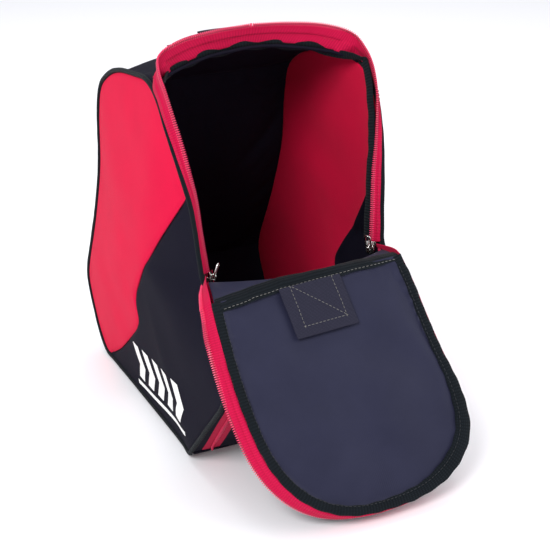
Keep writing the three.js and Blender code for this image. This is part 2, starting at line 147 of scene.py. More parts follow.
def rail(points, closed=False):
    """A smooth curve through the points: at(0) is the first and at(1) the last, or the first again."""
    knots = [Vector(p) for p in points]
    count = len(knots)
    spans = count if closed else count - 1

    def knot(i):
        if closed:
            return knots[i % count]
        if i < 0:
            return knots[0] * 2 - knots[1]
        if i >= count:
            return knots[-1] * 2 - knots[-2]
        return knots[i]

    def at(share):
        place = share * spans
        i = min(int(math.floor(place)), spans if closed else spans - 1)
        w = place - i
        a, b, c, d = knot(i - 1), knot(i), knot(i + 1), knot(i + 2)
        near = max((b - a).length ** 0.5, 1e-4)
        mid = max((c - b).length ** 0.5, 1e-4)
        far = max((d - c).length ** 0.5, 1e-4)
        enter = ((b - a) / near - (c - a) / (near + mid) + (c - b) / mid) * mid
        leave = ((c - b) / mid - (d - b) / (mid + far) + (d - c) / far) * mid
        ease = 3 * w * w - 2 * w ** 3
        return b + (c - b) * ease + enter * (w ** 3 - 2 * w * w + w) + leave * (w ** 3 - w * w)

    return at


outline = rail(OUTLINE, closed=True)
opening = rail(OPENING)
colour_seam = rail([(0, y, z) for y, z in COLOUR_SEAM])


def outline_at(index):
    """The outline at a place counted in its points, such as 7.9 for just before the eighth."""
    return outline(index / len(OUTLINE))


def lerp(a, b, share):
    return a + (b - a) * share


def smooth(share):
    share = min(1.0, max(0.0, share))
    return share * share * (3 - 2 * share)


def evenly(curve, start, end, step):
    """Points along part of a curve, about step apart, as a list."""
    fine = [curve(lerp(start, end, i / 800)) for i in range(801)]
    run = [0.0]
    for a, b in zip(fine, fine[1:]):
        run.append(run[-1] + (b - a).length)
    count = max(2, round(run[-1] / step))
    found, i = [], 0
    for k in range(count + 1):
        goal = run[-1] * k / count
        while i < 799 and run[i + 1] < goal:
            i += 1
        share = (goal - run[i]) / max(1e-9, run[i + 1] - run[i])
        found.append(fine[i].lerp(fine[i + 1], share))
    return found


def size_of(name):
    """One of the sizes that a user can change, in millimetres."""
    return getattr(bpy.context.scene.bag_sizes, name) / MM


def ripple(x, y, seed):
    """A soft irregular value from -1 to 1 that changes over about one unit."""
    return noise.noise(Vector((x, y, seed * 7.31)))


# ---------------------------------------------------------------- materials

# Threads of 600-denier cloth lie about 0.45 mm apart and those of the lining 0.25 mm, too fine to show,
# so both are drawn coarser. Ribs, wales and webbing yarn are drawn at their real spacing.
SHELL_THREAD = 1.1 * MM
LINING_THREAD = 0.9 * MM
PATCH_THREAD = 1.3 * MM
GROSGRAIN_RIB = 1.3 * MM
TAPE_WALE = 1.2 * MM
WEBBING_YARN = 1.8 * MM
# A wave texture shows one band for each 0.314 of its scaled length.
WAVE = 0.314


def linear(hex_colour):
    """An sRGB hex number as linear red, green, blue and alpha."""
    found = []
    for shift in (16, 8, 0):
        share = ((hex_colour >> shift) & 255) / 255
        found.append(share / 12.92 if share <= 0.04045 else ((share + 0.055) / 1.055) ** 2.4)
    return (*found, 1.0)


def node_in(tree, kind, settings=None, inputs=None):
    """Adds a node, sets its properties, and fills its inputs from values or from other outputs."""
    made = tree.nodes.new(kind)
    for key, value in (settings or {}).items():
        setattr(made, key, value)
    for key, value in (inputs or {}).items():
        if isinstance(value, bpy.types.NodeSocket):
            tree.links.new(value, made.inputs[key])
        else:
            made.inputs[key].default_value = value
    return made


def cloth_material(name, light, dark, thread, rough, sheen, dye_and_fold_shade=0.6, ribs=0.0, bump=0.25,
                   gloss=0.05):
    """Woven cloth: crossing threads, uneven dyeing and a little fibre sheen. Where the mottling is strong,
    as on the lining, it is also painted light and shade: lighter patches for lit fold ridges and darker
    ones for shaded folds. The UV map of every cloth piece is in metres, so thread, the distance between two
    threads, is in metres too."""
    found = bpy.data.materials.get(name)
    if found:
        return found
    material = bpy.data.materials.new(name)
    material.use_nodes = True
    tree = material.node_tree
    shader = tree.nodes["Principled BSDF"]
    uv = node_in(tree, "ShaderNodeTexCoord").outputs["UV"]
    place = node_in(tree, "ShaderNodeTexCoord").outputs["Object"]
    warp = node_in(tree, "ShaderNodeTexWave", {"wave_type": "BANDS", "bands_direction": "X"},
                   {"Vector": uv, "Scale": WAVE / thread, "Distortion": 0.6, "Detail": 1.0})
    weft = node_in(tree, "ShaderNodeTexWave", {"wave_type": "BANDS", "bands_direction": "Y"},
                   {"Vector": uv, "Scale": (WAVE - 0.2 * ribs) / thread, "Distortion": 0.6,
                    "Detail": 1.0})
    weave = node_in(tree, "ShaderNodeMath", {"operation": "MULTIPLY"},
                    {0: warp.outputs["Fac"], 1: weft.outputs["Fac"]})
    dye_and_shade_noise = node_in(tree, "ShaderNodeTexNoise", None,
                  {"Vector": place, "Scale": 22.0, "Detail": 6.0, "Roughness": 0.62})
    fibre = node_in(tree, "ShaderNodeTexNoise", None,
                    {"Vector": place, "Scale": 900.0, "Detail": 2.0, "Roughness": 0.5})
    mix = node_in(tree, "ShaderNodeMath", {"operation": "MULTIPLY_ADD"},
                  {0: dye_and_shade_noise.outputs["Fac"], 1: dye_and_fold_shade, 2: weave.outputs["Value"]})
    ramp = node_in(tree, "ShaderNodeMapRange", None,
                   {"Value": mix.outputs["Value"], "From Min": 0.0, "From Max": 1.0 + dye_and_fold_shade})
    colour = node_in(tree, "ShaderNodeMix", {"data_type": "RGBA"}, {0: ramp.outputs["Result"]})
    colour.inputs[6].default_value = linear(dark)
    colour.inputs[7].default_value = linear(light)
    tree.links.new(colour.outputs[2], shader.inputs["Base Color"])
    height = node_in(tree, "ShaderNodeMath", {"operation": "MULTIPLY_ADD"},
                     {0: fibre.outputs["Fac"], 1: 0.35, 2: weave.outputs["Value"]})
    relief = node_in(tree, "ShaderNodeBump", None,
                     {"Height": height.outputs["Value"], "Strength": bump, "Distance": thread * 0.6})
    tree.links.new(relief.outputs["Normal"], shader.inputs["Normal"])
    shader.inputs["Roughness"].default_value = rough
    shader.inputs["Sheen Weight"].default_value = sheen
    shader.inputs["Sheen Roughness"].default_value = 0.45
    shader.inputs["Specular IOR Level"].default_value = gloss
    return material


def red_shell():
    """600-denier red polyester, plain woven and coated behind: matt, with a faint pebbled grain."""
    look = bpy.context.scene.bag_looks
    return cloth_material("polyester_600d_red", to_hex(look.red), RED_SHADE, SHELL_THREAD, 0.75, 0.03)


def black_shell():
    """The same polyester dyed black, which reads as a cool charcoal under soft light."""
    look = bpy.context.scene.bag_looks
    return cloth_material("polyester_600d_black", to_hex(look.black), BLACK_SHADE, SHELL_THREAD, 0.75, 0.0)


def lining_cloth():
    """210-denier polyester lining with a coated face: finer threads and a soft satin shine. Its strong
    mottling is partly uneven dyeing and partly painted light and shade, lighter for lit ridges and darker
    in shaded folds.
    """
    look = bpy.context.scene.bag_looks
    # Strong mottling: painted highlights and painted shade of the folds, besides uneven dyeing.
    return cloth_material("lining_210d_navy_grey", to_hex(look.lining), LINING_SHADE,
                          LINING_THREAD, 0.5, 0.05,
                          dye_and_fold_shade=1.5, bump=0.12, gloss=0.13)


def binding_tape():
    """Grosgrain polyester binding: ribs across the tape, dull and slightly green-black."""
    return cloth_material("grosgrain_black", 0x1E242A, 0x0B0E11, GROSGRAIN_RIB, 0.72, 0.05,
                          ribs=0.9, bump=0.5)


def patch_cloth():
    """Reinforcement patch: 600-denier polyester in the lining's colour, a little lighter and coarser."""
    return cloth_material("patch_600d_grey", 0x3C3B4C, 0x1E1E2A, PATCH_THREAD, 0.7, 0.05,
                          dye_and_fold_shade=0.3, bump=0.5)


def webbing_cloth():
    """Polyester webbing: thick ribbed yarn, charcoal."""
    return cloth_material("webbing_black", 0x24242E, 0x0E0E14, WEBBING_YARN, 0.7, 0.04, ribs=0.6, bump=0.6)


def zip_tape_cloth():
    """Knitted polyester zip tape: fine lengthwise wales, the same crimson as the coil."""
    return cloth_material("zip_tape_crimson", 0xDC1C50, 0xA00A34, TAPE_WALE, 0.6, 0.04, ribs=0.8, bump=0.35)


def plain_material(name, hex_colour, rough, metallic=0.0, wear=0.08, grain=420.0):
    """A moulded, plated or printed surface: fine uneven roughness and a trace of relief."""
    found = bpy.data.materials.get(name)
    if found:
        return found
    material = bpy.data.materials.new(name)
    material.use_nodes = True
    tree = material.node_tree
    shader = tree.nodes["Principled BSDF"]
    place = node_in(tree, "ShaderNodeTexCoord").outputs["Object"]
    spots = node_in(tree, "ShaderNodeTexNoise", None,
                    {"Vector": place, "Scale": grain, "Detail": 4.0, "Roughness": 0.6})
    colour = node_in(tree, "ShaderNodeMix", {"data_type": "RGBA"}, {0: spots.outputs["Fac"]})
    base = linear(hex_colour)
    colour.inputs[6].default_value = (*[c * (1 - 2 * wear) for c in base[:3]], 1)
    colour.inputs[7].default_value = (*[min(1, c * (1 + wear)) for c in base[:3]], 1)
    tree.links.new(colour.outputs[2], shader.inputs["Base Color"])
    gloss = node_in(tree, "ShaderNodeMapRange", None,
                    {"Value": spots.outputs["Fac"], "To Min": rough * 0.8, "To Max": rough * 1.25})
    tree.links.new(gloss.outputs["Result"], shader.inputs["Roughness"])
    relief = node_in(tree, "ShaderNodeBump", None,
                     {"Height": spots.outputs["Fac"], "Strength": 0.1, "Distance": 0.1 * MM})
    tree.links.new(relief.outputs["Normal"], shader.inputs["Normal"])
    shader.inputs["Metallic"].default_value = metallic
    return material


def coil_cord():
    """The woven cord inside the coil: deep crimson, matt. Its darkness is painted shade for the shadow
    between the coil's turns.
    """
    return plain_material("coil_core_crimson_painted_shade", 0x8C0A2C, 0.7)


def coil_nylon():
    """Red nylon zip coil: smooth extruded filament, semi-gloss."""
    return plain_material("nylon_coil_red", 0xEC3A68, 0.3)


def nickel():
    """Nickel-plated zinc casting: bright, faintly clouded by handling."""
    return plain_material("nickel_plated_zinc", 0xD9D8D6, 0.2, metallic=1.0)


def print_ink():
    """White plastisol screen print: opaque, slightly glossy, the cloth's grain showing through."""
    return plain_material("plastisol_print_white", 0xF4F4F2, 0.42, wear=0.03, grain=900.0)


def grey_thread():
    """Light grey polyester sewing thread."""
    return plain_material("thread_grey", 0x6C6A66, 0.6)


def dark_thread():
    """Black polyester sewing thread."""
    return plain_material("thread_black", 0x1E1F24, 0.55)


def red_thread():
    """Crimson polyester sewing thread."""
    return plain_material("thread_crimson", 0xB31238, 0.55)


def board_plastic():
    """Pressed polypropylene board: dull dark grey with a fine leathery grain."""
    return plain_material("polypropylene_board", 0x323236, 0.7, grain=260.0)


def to_hex(colour):
    """A stored sRGB colour, three shares, as one hex number."""
    return sum(round(c * 255) << shift for c, shift in zip(colour, (16, 8, 0)))


# ---------------------------------------------------------------- mesh making

def clear_selection():
    if bpy.context.object and bpy.context.object.mode != "OBJECT":
        bpy.ops.object.mode_set(mode="OBJECT")
    bpy.ops.object.select_all(action="DESELECT")


def pick(piece):
    clear_selection()
    piece.select_set(True)
    bpy.context.view_layer.objects.active = piece


def apply_modifiers(piece):
    pick(piece)
    for modifier in list(piece.modifiers):
        bpy.ops.object.modifier_apply(modifier=modifier.name)


def dress(piece, material, body, slot, *nodes):
    """The last steps of a piece: its cloth, its body and the solids it stands for. The slot argument is not
    used.
    """
    piece.data.materials.clear()
    piece.data.materials.append(material)
    if body:
        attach(piece, body)
    if nodes:
        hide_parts(*nodes)
    return piece


def cloth_grid(name, surface, columns, rows):
    """A grid of cloth whose vertices lie on surface(u, v), in millimetres, with a UV map in metres."""
    clear_selection()
    bpy.ops.mesh.primitive_grid_add(x_subdivisions=columns, y_subdivisions=rows, size=1)
    piece = bpy.context.object
    piece.name = name
    piece.data.name = name
    mesh = piece.data
    shares = [(v.co.x + 0.5, v.co.y + 0.5) for v in mesh.vertices]
    for vertex, (u, v) in zip(mesh.vertices, shares):
        vertex.co = Vector(surface(u, v)) * MM
    middle_u = [Vector(surface(i / 12, 0.5)) for i in range(13)]
    middle_v = [Vector(surface(0.5, i / 12)) for i in range(13)]
    width = sum((b - a).length for a, b in zip(middle_u, middle_u[1:])) * MM
    length = sum((b - a).length for a, b in zip(middle_v, middle_v[1:])) * MM
    layer = mesh.uv_layers.active.data
    for loop in mesh.loops:
        u, v = shares[loop.vertex_index]
        layer[loop.index].uv = (u * width, v * length)
    mesh.update()
    return piece


def ruffle(piece, slack, cap, push=0.0):
    """Lets a cloth grid with its rim sewn down settle with some spare cloth, and keeps each point
    within cap of where it was. Push is air pressure along the face normals."""
    mesh = piece.data
    rest = np.array([v.co for v in mesh.vertices])
    flat = bmesh.new()
    flat.from_mesh(mesh)
    rim = [v.index for v in flat.verts if v.is_boundary]
    flat.free()
    group = piece.vertex_groups.new(name="sewn")
    group.add(rim, 1.0, "REPLACE")
    cloth = piece.modifiers.new("settle", "CLOTH")
    settings = cloth.settings
    settings.quality = 6
    settings.mass = 0.25
    settings.tension_stiffness = CLOTH_STIFFNESS
    settings.compression_stiffness = CLOTH_STIFFNESS
    settings.shear_stiffness = CLOTH_STIFFNESS / 2
    settings.bending_stiffness = 1.2
    settings.vertex_group_mass = "sewn"
    settings.shrink_min = -slack
    settings.shrink_max = -slack
    settings.effector_weights.gravity = 0.15
    if push:
        settings.use_pressure = True
        settings.uniform_pressure_force = push
    cloth.collision_settings.use_collision = False
    cloth.collision_settings.use_self_collision = False
    cloth.point_cache.frame_start = 1
    cloth.point_cache.frame_end = SETTLE_FRAMES
    scene = bpy.context.scene
    for number in range(1, SETTLE_FRAMES + 1):
        scene.frame_set(number)
    ready = piece.evaluated_get(bpy.context.evaluated_depsgraph_get())
    moved = np.array([v.co for v in ready.data.vertices]) - rest
    piece.modifiers.remove(cloth)
    piece.vertex_groups.remove(group)
    reach = np.linalg.norm(moved, axis=1)
    share = np.minimum(1.0, cap * MM / np.maximum(reach, 1e-9))
    for vertex, start, step, part in zip(mesh.vertices, rest, moved, share):
        vertex.co = start + step * part
    mesh.update()
    scene.frame_set(1)


def thicken(piece, depth, offset=-1.0):
    """Gives a cloth grid its thickness in millimetres, and a finer, softer surface."""
    solid = piece.modifiers.new("thickness", "SOLIDIFY")
    solid.thickness = depth * MM
    solid.offset = offset
    solid.use_quality_normals = True
    refine(piece)
    bpy.ops.object.shade_smooth_by_angle(angle=math.radians(40))
    return piece


def refine(piece):
    """Subdivides a piece once and applies all its modifiers."""
    fine = piece.modifiers.new("fine", "SUBSURF")
    fine.levels = fine.render_levels = 1
    apply_modifiers(piece)


def face_towards(piece, point):
    """Turns every face of an open grid so that it looks away from a point inside, in millimetres."""
    mesh = piece.data
    inside = Vector(point) * MM
    facing = sum((p.center - inside).dot(p.normal) * p.area for p in mesh.polygons)
    if facing < 0:
        mesh.flip_normals()
        mesh.update()
    return piece


def cord_along(name, points, radius, closed=False, sides=10):
    """A round cord through points in millimetres, as a mesh with a UV map in metres."""
    clear_selection()
    bpy.ops.curve.primitive_bezier_curve_add()
    line = bpy.context.object
    line.name = name
    data = line.data
    data.splines.clear()
    spline = data.splines.new("POLY")
    spline.points.add(len(points) - 1)
    for knot, point in zip(spline.points, points):
        knot.co = (*(Vector(point) * MM), 1)
    spline.use_cyclic_u = closed
    data.dimensions = "3D"
    data.bevel_depth = radius * MM
    data.bevel_resolution = max(0, sides // 4)
    data.use_fill_caps = not closed
    data.resolution_u = 1
    line.location = (0, 0, 0)
    bpy.ops.object.convert(target="MESH")
    piece = bpy.context.object
    piece.name = name
    piece.data.name = name
    bpy.ops.object.shade_smooth()
    return piece


def frames_along(points, up_at):
    """Frames (place, across, up, along) at points, in millimetres; up_at(i) points out of the cloth."""
    found = []
    for i, point in enumerate(points):
        ahead = points[min(i + 1, len(points) - 1)]
        back = points[max(i - 1, 0)]
        along = (ahead - back).normalized()
        up = up_at(i)
        up = (up - along * up.dot(along)).normalized()
        found.append((point, along.cross(up), up, along))
    return found


def row_of(name, frames, unit):
    """Copies a small unit mesh (corners, faces), in millimetres, onto each frame, as one piece."""
    corners, faces = unit
    places = np.array([[*f[0]] for f in frames])
    axes = np.array([[[*f[1]], [*f[2]], [*f[3]]] for f in frames])
    local = np.array(corners, float)
    world = np.einsum("nj,ijk->ink", local, axes) + places[:, None, :]
    count = len(local)
    verts = (world.reshape(-1, 3) * MM).tolist()
    polys = [[k + i * count for k in face] for i in range(len(frames)) for face in faces]
    mesh = bpy.data.meshes.new(name)
    mesh.from_pydata(verts, [], polys)
    mesh.validate()
    piece = bpy.data.objects.new(name, mesh)
    bpy.context.scene.collection.objects.link(piece)
    pick(piece)
    bpy.ops.object.shade_smooth_by_angle(angle=math.radians(50))
    return piece


def rod_unit(length, half_width, half_height, axis=2):
    """A small rod with rounded ends: its length lies along axis 2 (along) or axis 0 (across)."""
    sides, rings = 6, 3
    corners, faces = [], []
    for r in range(rings + 1):
        place = -math.cos(math.pi * r / rings)
        swell = max(0.35, math.sin(math.pi * min(max((r + 0.5) / (rings + 1), 0.18), 0.82)))
        for s in range(sides):
            turn = 2 * math.pi * s / sides
            side = half_width * swell * math.cos(turn)
            high = half_height * swell * math.sin(turn)
            run = place * length / 2
            corners.append((side, high, run) if axis == 2 else (run, high, -side))
    for r in range(rings):
        for s in range(sides):
            a, b = r * sides + s, r * sides + (s + 1) % sides
            faces.append((a, b, b + sides, a + sides))
    faces.append(tuple(reversed(range(sides))))
    faces.append(tuple(range(rings * sides, (rings + 1) * sides)))
    return corners, faces


STITCH = rod_unit(2.7, 0.32, 0.3)
COIL_TOOTH = rod_unit(5.0, 0.68, 1.35, axis=0)


# ---------------------------------------------------------------- the two sides

def side_rim():
    """Angle, reach and half-width of the outline seen from the middle of a side, sorted by angle."""
    rows = []
    for i in range(1440):
        p = outline(i / 1440)
        arm = (p.y - SIDE_MIDDLE[0], p.z - SIDE_MIDDLE[1])
        rows.append((math.atan2(arm[1], arm[0]), math.hypot(*arm), p.x))
    return np.array(sorted(rows))


RIM = side_rim()


def side_depth(y, z):
    """Half-width of the bulging side over a place, in millimetres."""
    arm = (y - SIDE_MIDDLE[0], z - SIDE_MIDDLE[1])
    turn = math.atan2(arm[1], arm[0])
    reach = float(np.interp(turn, RIM[:, 0], RIM[:, 1], period=2 * math.pi))
    edge = float(np.interp(turn, RIM[:, 0], RIM[:, 2], period=2 * math.pi))
    share = min(1.0, math.hypot(*arm) / reach)
    return SIDE_PLANE + (edge - SIDE_PLANE) * share ** 2 + SIDE_BULGE * (1 - share ** 2)


def place_on_outline(y, z):
    """The share of the way round the outline that is nearest to a place."""
    steps = 100 * len(OUTLINE)
    return min(range(steps), key=lambda i: math.dist(outline(i / steps).yz, (y, z))) / steps


def side_cloth(name, hand, upper):
    """One cloth panel of a side, ruled from the colour seam out to the piping."""
    front = place_on_outline(-143, 286)
    rear = place_on_outline(120, 4.2)
    seam = evenly(colour_seam, 0.0, 1.0, 4.0)
    steps = len(seam) - 1
    if upper:
        rim = evenly(outline, front, rear, 3.0)
    else:
        rim = evenly(lambda s: outline(s % 1.0), front, rear - 1.0, 3.0)
    lower_sign = 1 if upper else -1

    def at(line, share):
        place = share * (len(line) - 1)
        i = min(int(place), len(line) - 2)
        return line[i].lerp(line[i + 1], place - i)

    def surface(u, v):
        near, far = at(seam, v), at(rim, v)
        arm = Vector((0, far.y - near.y, far.z - near.z))
        room = max(0.0, arm.length - 2.4)
        gap = 0.0 if upper else -SEAM_OVERLAP * smooth(arm.length / 30)
        along = gap + (room - gap) * u
        p = Vector((0, near.y, near.z)) + (arm.normalized() * along if arm.length > 0.01 else Vector())
        tuck = 1.6 * math.exp(-(along / 4.0) ** 2) * smooth(arm.length / 20)
        if not upper:
            tuck += 2.2 * smooth(1 - along / 2.0) * smooth(arm.length / 30)
        sag = 1.5 * ripple(p.y / 60, p.z / 45, 3 + lower_sign) * smooth((room - along) / 30)
        return (hand * (side_depth(p.y, p.z) - tuck + sag), p.y, p.z)

    piece = cloth_grid(name, surface, 52, min(110, steps))
    face_towards(piece, (0, -30, 190))
    ruffle(piece, 0.004, 2.2, push=0.2)
    thicken(piece, size_of("panel_thickness"))
    return piece


def build_sides():
    for side, hand in SIDES:
        upper = side_cloth(f"{side}_side_upper_cloth", hand, True)
        dress(upper, red_shell(), "root", "red_shell", f"{side}_side_upper")
        lower = side_cloth(f"{side}_side_lower_cloth", hand, False)
        dress(lower, black_shell(), "root", "black_shell", f"{side}_side_lower")


def build_piping():
    """A cord wrapped in bias binding, sewn into the seam all the way round each side."""
    for side, hand in SIDES:
        radius = size_of("piping_radius")
        path = evenly(outline, 0.0, 0.9985, 5.0)
        points = []
        for i, p in enumerate(path):
            wander = 0.35 * ripple(i * 0.35, hand, 11)
            points.append(Vector((hand * (p.x + wander), p.y, max(radius + 0.2, p.z + wander))))
        piece = cord_along(f"{side}_piping_cord", points, radius, closed=True, sides=16)
        refine(piece)
        dress(piece, binding_tape(), "root", "piping", f"{side}_side_piping")


def build_prints():
    """A generic mark on the black cloth: slanted chevrons on a bar, wrapped onto the cloth."""
    bars = [((-142, 27), (14, 14), (14, 19), (-142, 32))]
    for i in range(5):
        y, z = -146 + i * 30, 38 - i * 2.6
        bars.append(((y, z + 22), (y + 16, z + 22), (y + 30, z + 44), (y + 14, z + 44)))
        bars.append(((y + 14, z), (y + 30, z), (y + 16, z + 22), (y, z + 22)))
    for side, hand in SIDES:
        cloth = bpy.data.objects[f"{side}_side_lower_cloth"]
        away = Vector((hand, 0, 0))
        verts, faces = [], []
        for a, b, c, d in bars:
            a, b, c, d = (Vector((hand * 160, *corner)) for corner in (a, b, c, d))
            wide = max(2, round((b - a).length / PRINT_CELL))
            high = max(2, round((d - a).length / PRINT_CELL))
            first, hits = len(verts), []
            for i in range(high + 1):
                low, top = a.lerp(d, i / high), b.lerp(c, i / high)
                for j in range(wide + 1):
                    hit, place, _, _ = cloth.ray_cast(low.lerp(top, j / wide) * MM, -away)
                    hits.append(hit and place.x * hand > 0.09)
                    verts.append(place + away * PRINT_LIFT * MM)
            for i in range(high):
                for j in range(wide):
                    k = i * (wide + 1) + j
                    corners = (k, k + 1, k + wide + 2, k + wide + 1)
                    if all(hits[n] for n in corners):
                        faces.append([first + n for n in corners])
        mesh = bpy.data.meshes.new(f"{side}_print_film")
        mesh.from_pydata(verts, [], faces)
        piece = bpy.data.objects.new(f"{side}_print_film", mesh)
        bpy.context.scene.collection.objects.link(piece)
        pick(piece)
        bpy.ops.object.mode_set(mode="EDIT")
        bpy.ops.mesh.delete_loose()
        bpy.ops.object.mode_set(mode="OBJECT")
        face_towards(piece, (0, -50, 40))
        solid = piece.modifiers.new("film", "SOLIDIFY")
        solid.thickness = PRINT_FILM * MM
        solid.offset = 0.0
        pick(piece)
        apply_modifiers(piece)
        dress(piece, print_ink(), "root", "print", f"{side}_side_print")


# ---------------------------------------------------------------- front, base and walls

def front_point(x, v):
    """A point of the front below the fold: v up it, with the middle standing out as a lip at the top."""
    p = outline_at(lerp(*FRONT_SPAN, v))
    crown = (1 - (x / p.x) ** 2) * (4 * math.sin(math.pi * v) + LIP * v ** 6)
    return Vector((x, p.y - crown, p.z + crown * 0.1))


def zip_x(v):
    """Distance of the closed zip from the middle, at a share of the way up the front."""
    return 91 + 8 * math.sin(math.pi * min(1, v * 1.05)) - 4 * v ** 4


def front_strip(name, inner, outer, columns, rows, start=0.0, end=1.0, lift=0.0):
    """A strip of the front between two distances from the middle."""
    def surface(u, w):
        v = lerp(start, end, w)
        x = lerp(inner(v), outer(v), u)
        p = front_point(x, v)
        ahead = front_point(x, min(1, v + 0.01)) - front_point(x, max(0, v - 0.01))
        out = Vector((0, -ahead.z, ahead.y)).normalized()
        return p + out * lift

    piece = cloth_grid(name, surface, columns, rows)
    return face_towards(piece, (0, 0, 110))


def build_front():
    """The black front below the flap, and the red closed stretch of the zip on each side of it."""
    panel = front_strip("front_lower_cloth", lambda v: 9.0 - zip_x(v), lambda v: zip_x(v) - 9.0, 44, 60,
                        lift=0.8)
    ruffle(panel, 0.008, 2.5, push=0.2)
    thicken(panel, size_of("panel_thickness"))
    dress(panel, black_shell(), "root", "black_shell", "front_lower_panel")
    sill = front_strip("front_sill_cloth", lambda v: -seam_x(v) - 1.0, lambda v: seam_x(v) + 1.0, 44, 8,
                       end=0.08, lift=2.2)
    thicken(sill, 2.4)
    dress(sill, black_shell(), "root", "black_shell")
    for side, hand in SIDES:
        inner_edges = (lambda v: hand * (zip_x(v) - TAPE_REACH), lambda v: hand * (zip_x(v) - TAPE_GAP))
        outer_edges = (lambda v: hand * (zip_x(v) + TAPE_GAP),
                       lambda v: hand * min(zip_x(v) + TAPE_REACH, seam_x(v) + 1.5))
        for half, edges in (("inner", inner_edges), ("outer", outer_edges)):
            tape = front_strip(f"{side}_closed_{half}_tape_cloth", *edges, 8, 60, start=0.05, lift=0.2)
            thicken(tape, TAPE_THICK, offset=0.0)
            dress(tape, zip_tape_cloth(), "root", "zip_tape", f"{side}_closed_zip_{half}_tape")
        gusset = front_strip(f"{side}_gusset_cloth", lambda v: hand * (zip_x(v) + 9.6),
                             lambda v: hand * (seam_x(v) + 1.5), 8, 40, end=0.44, lift=0.5)
        thicken(gusset, 1.8)
        dress(gusset, black_shell(), "root", "black_shell", f"{side}_front_gusset")
        closed_coil(side, hand)


def seam_x(v):
    """Distance of the front's seam from the middle."""
    return outline_at(lerp(*FRONT_SPAN, v)).x - 3.6


def closed_coil(side, hand):
    """The meshed coil: two rows of turns that interlock along the middle of the closed stretch."""
    heights = [lerp(0.085, 0.94, i / 60) for i in range(61)]
    curve = rail([front_point(hand * zip_x(v), v) for v in heights])
    path = evenly(curve, 0.0, 1.0, COIL_PITCH / 2)
    out = Vector((0, -0.75, 0.66))
    frames = frames_along(path, lambda i: out)
    shifted = [(f[0] + f[1] * (1.1 if i % 2 else -1.1) + f[2] * 0.7, f[1], f[2], f[3])
               for i, f in enumerate(frames)]
    piece = row_of(f"{side}_closed_coil_turns", shifted, COIL_TOOTH)
    dress(piece, coil_nylon(), "root", "zip_coil", f"{side}_closed_zip_coil")


def outline_normal(place):
    """Direction out of the bag, square to the outline, at a place counted in its points."""
    ahead, back = outline_at(place + 0.03), outline_at(place - 0.03)
    return Vector((0, ahead.z - back.z, -(ahead.y - back.y))).normalized()


def cross_wall(name, span, crown, columns, rows, slack, cap):
    """A wall between the two sides over part of the outline, crowned in the middle and a little slack."""
    def surface(u, v):
        place = lerp(*span, v)
        p = outline_at(place)
        side = 2 * u - 1
        lift = crown * (1 - side ** 2) * max(0.0, math.sin(math.pi * v)) ** 0.6
        lift += 1.6 * ripple(side * 2.2, v * 5, 21) * (1 - side ** 4)
        return Vector(((p.x - 1.6) * side, p.y, p.z)) + outline_normal(place) * lift

    piece = cloth_grid(name, surface, columns, rows)
    face_towards(piece, (0, 0, 150))
    ruffle(piece, slack, cap, push=0.3)
    thicken(piece, size_of("panel_thickness"))
    return piece


def build_back():
    back = cross_wall("back_cloth", BACK_SPAN, 7.0, 46, 64, 0.014, 6.0)
    dress(back, black_shell(), "root", "black_shell", "back_panel")
    heel = cross_wall("heel_cloth", HEEL_SPAN, 3.0, 46, 30, 0.01, 4.0)
    dress(heel, black_shell(), "root", "black_shell", "heel_panel")


def top_edge(side):
    """The front edge of the top panel, arched over the opening: side -1 to 1 across."""
    p = outline_at(TOP_SPAN[0])
    arch = 1 - side ** 2
    return Vector(((p.x - 3.6) * side, p.y + 24 * arch, p.z + 24 * arch ** 0.7))


def top_point(side, v):
    """A place on the top panel: v 0 at its front edge and 1 at the back."""
    p = outline_at(lerp(*TOP_SPAN, v))
    rear = Vector(((p.x - 1.6) * side, p.y, p.z + 8 * (1 - side ** 2) * math.sin(math.pi * v)))
    front = top_edge(side) - top_edge(math.copysign(1, side))
    return rear + Vector((0, front.y, front.z)) * (1 - v) ** 1.6


def build_top():
    def surface(u, v):
        side = 2 * u - 1
        v = lerp(TOP_OVERHANG, 1.0, v)
        p = top_point(side, v)
        return p + Vector((0, 0, 1.4 * ripple(side * 2.5, v * 3, 5) * (1 - side ** 4) * (1 - v ** 4)))

    piece = cloth_grid("top_cloth", surface, 50, 34)
    face_towards(piece, (0, 0, 200))
    ruffle(piece, 0.01, 4.0, push=0.2)
    thicken(piece, 3.2)
    dress(piece, black_shell(), "root", "black_shell", "top_panel")


def build_base():
    """The bottom: a stiffened black panel with rounded corners, and the board that lies on it inside."""
    for name, node, material, slot, round_by in (
        ("base_cloth", "base_panel", black_shell, "black_shell", 9.0),
        ("base_board_plate", "base_board", board_plastic, "board", 14.0),
    ):
        low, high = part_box(node)
        clear_selection()
        bpy.ops.mesh.primitive_cube_add(size=1, location=(low + high) / 2)
        piece = bpy.context.object
        piece.name = name
        piece.data.name = name
        piece.scale = high - low
        bpy.ops.object.transform_apply(location=True, rotation=True, scale=True)
        bpy.ops.object.mode_set(mode="EDIT")
        bpy.ops.mesh.select_all(action="DESELECT")
        bpy.ops.object.mode_set(mode="OBJECT")
        for edge in piece.data.edges:
            a, b = (piece.data.vertices[i].co for i in edge.vertices)
            edge.select = abs(a.z - b.z) > 1e-6
        bpy.ops.object.mode_set(mode="EDIT")
        bpy.ops.mesh.select_mode(type="EDGE")
        bpy.ops.mesh.bevel(offset=round_by * MM, segments=6)
        bpy.ops.object.mode_set(mode="OBJECT")
        soft = piece.modifiers.new("edge", "BEVEL")
        soft.width = 0.7 * MM
        soft.segments = 3
        apply_modifiers(piece)
        for vertex in piece.data.vertices:
            vertex.co = Vector(min(max(c, a), b) for c, a, b in zip(vertex.co, low, high))
        bpy.ops.object.shade_smooth_by_angle(angle=math.radians(40))
        spread_uv(piece)
        dress(piece, material(), "root", slot, node)


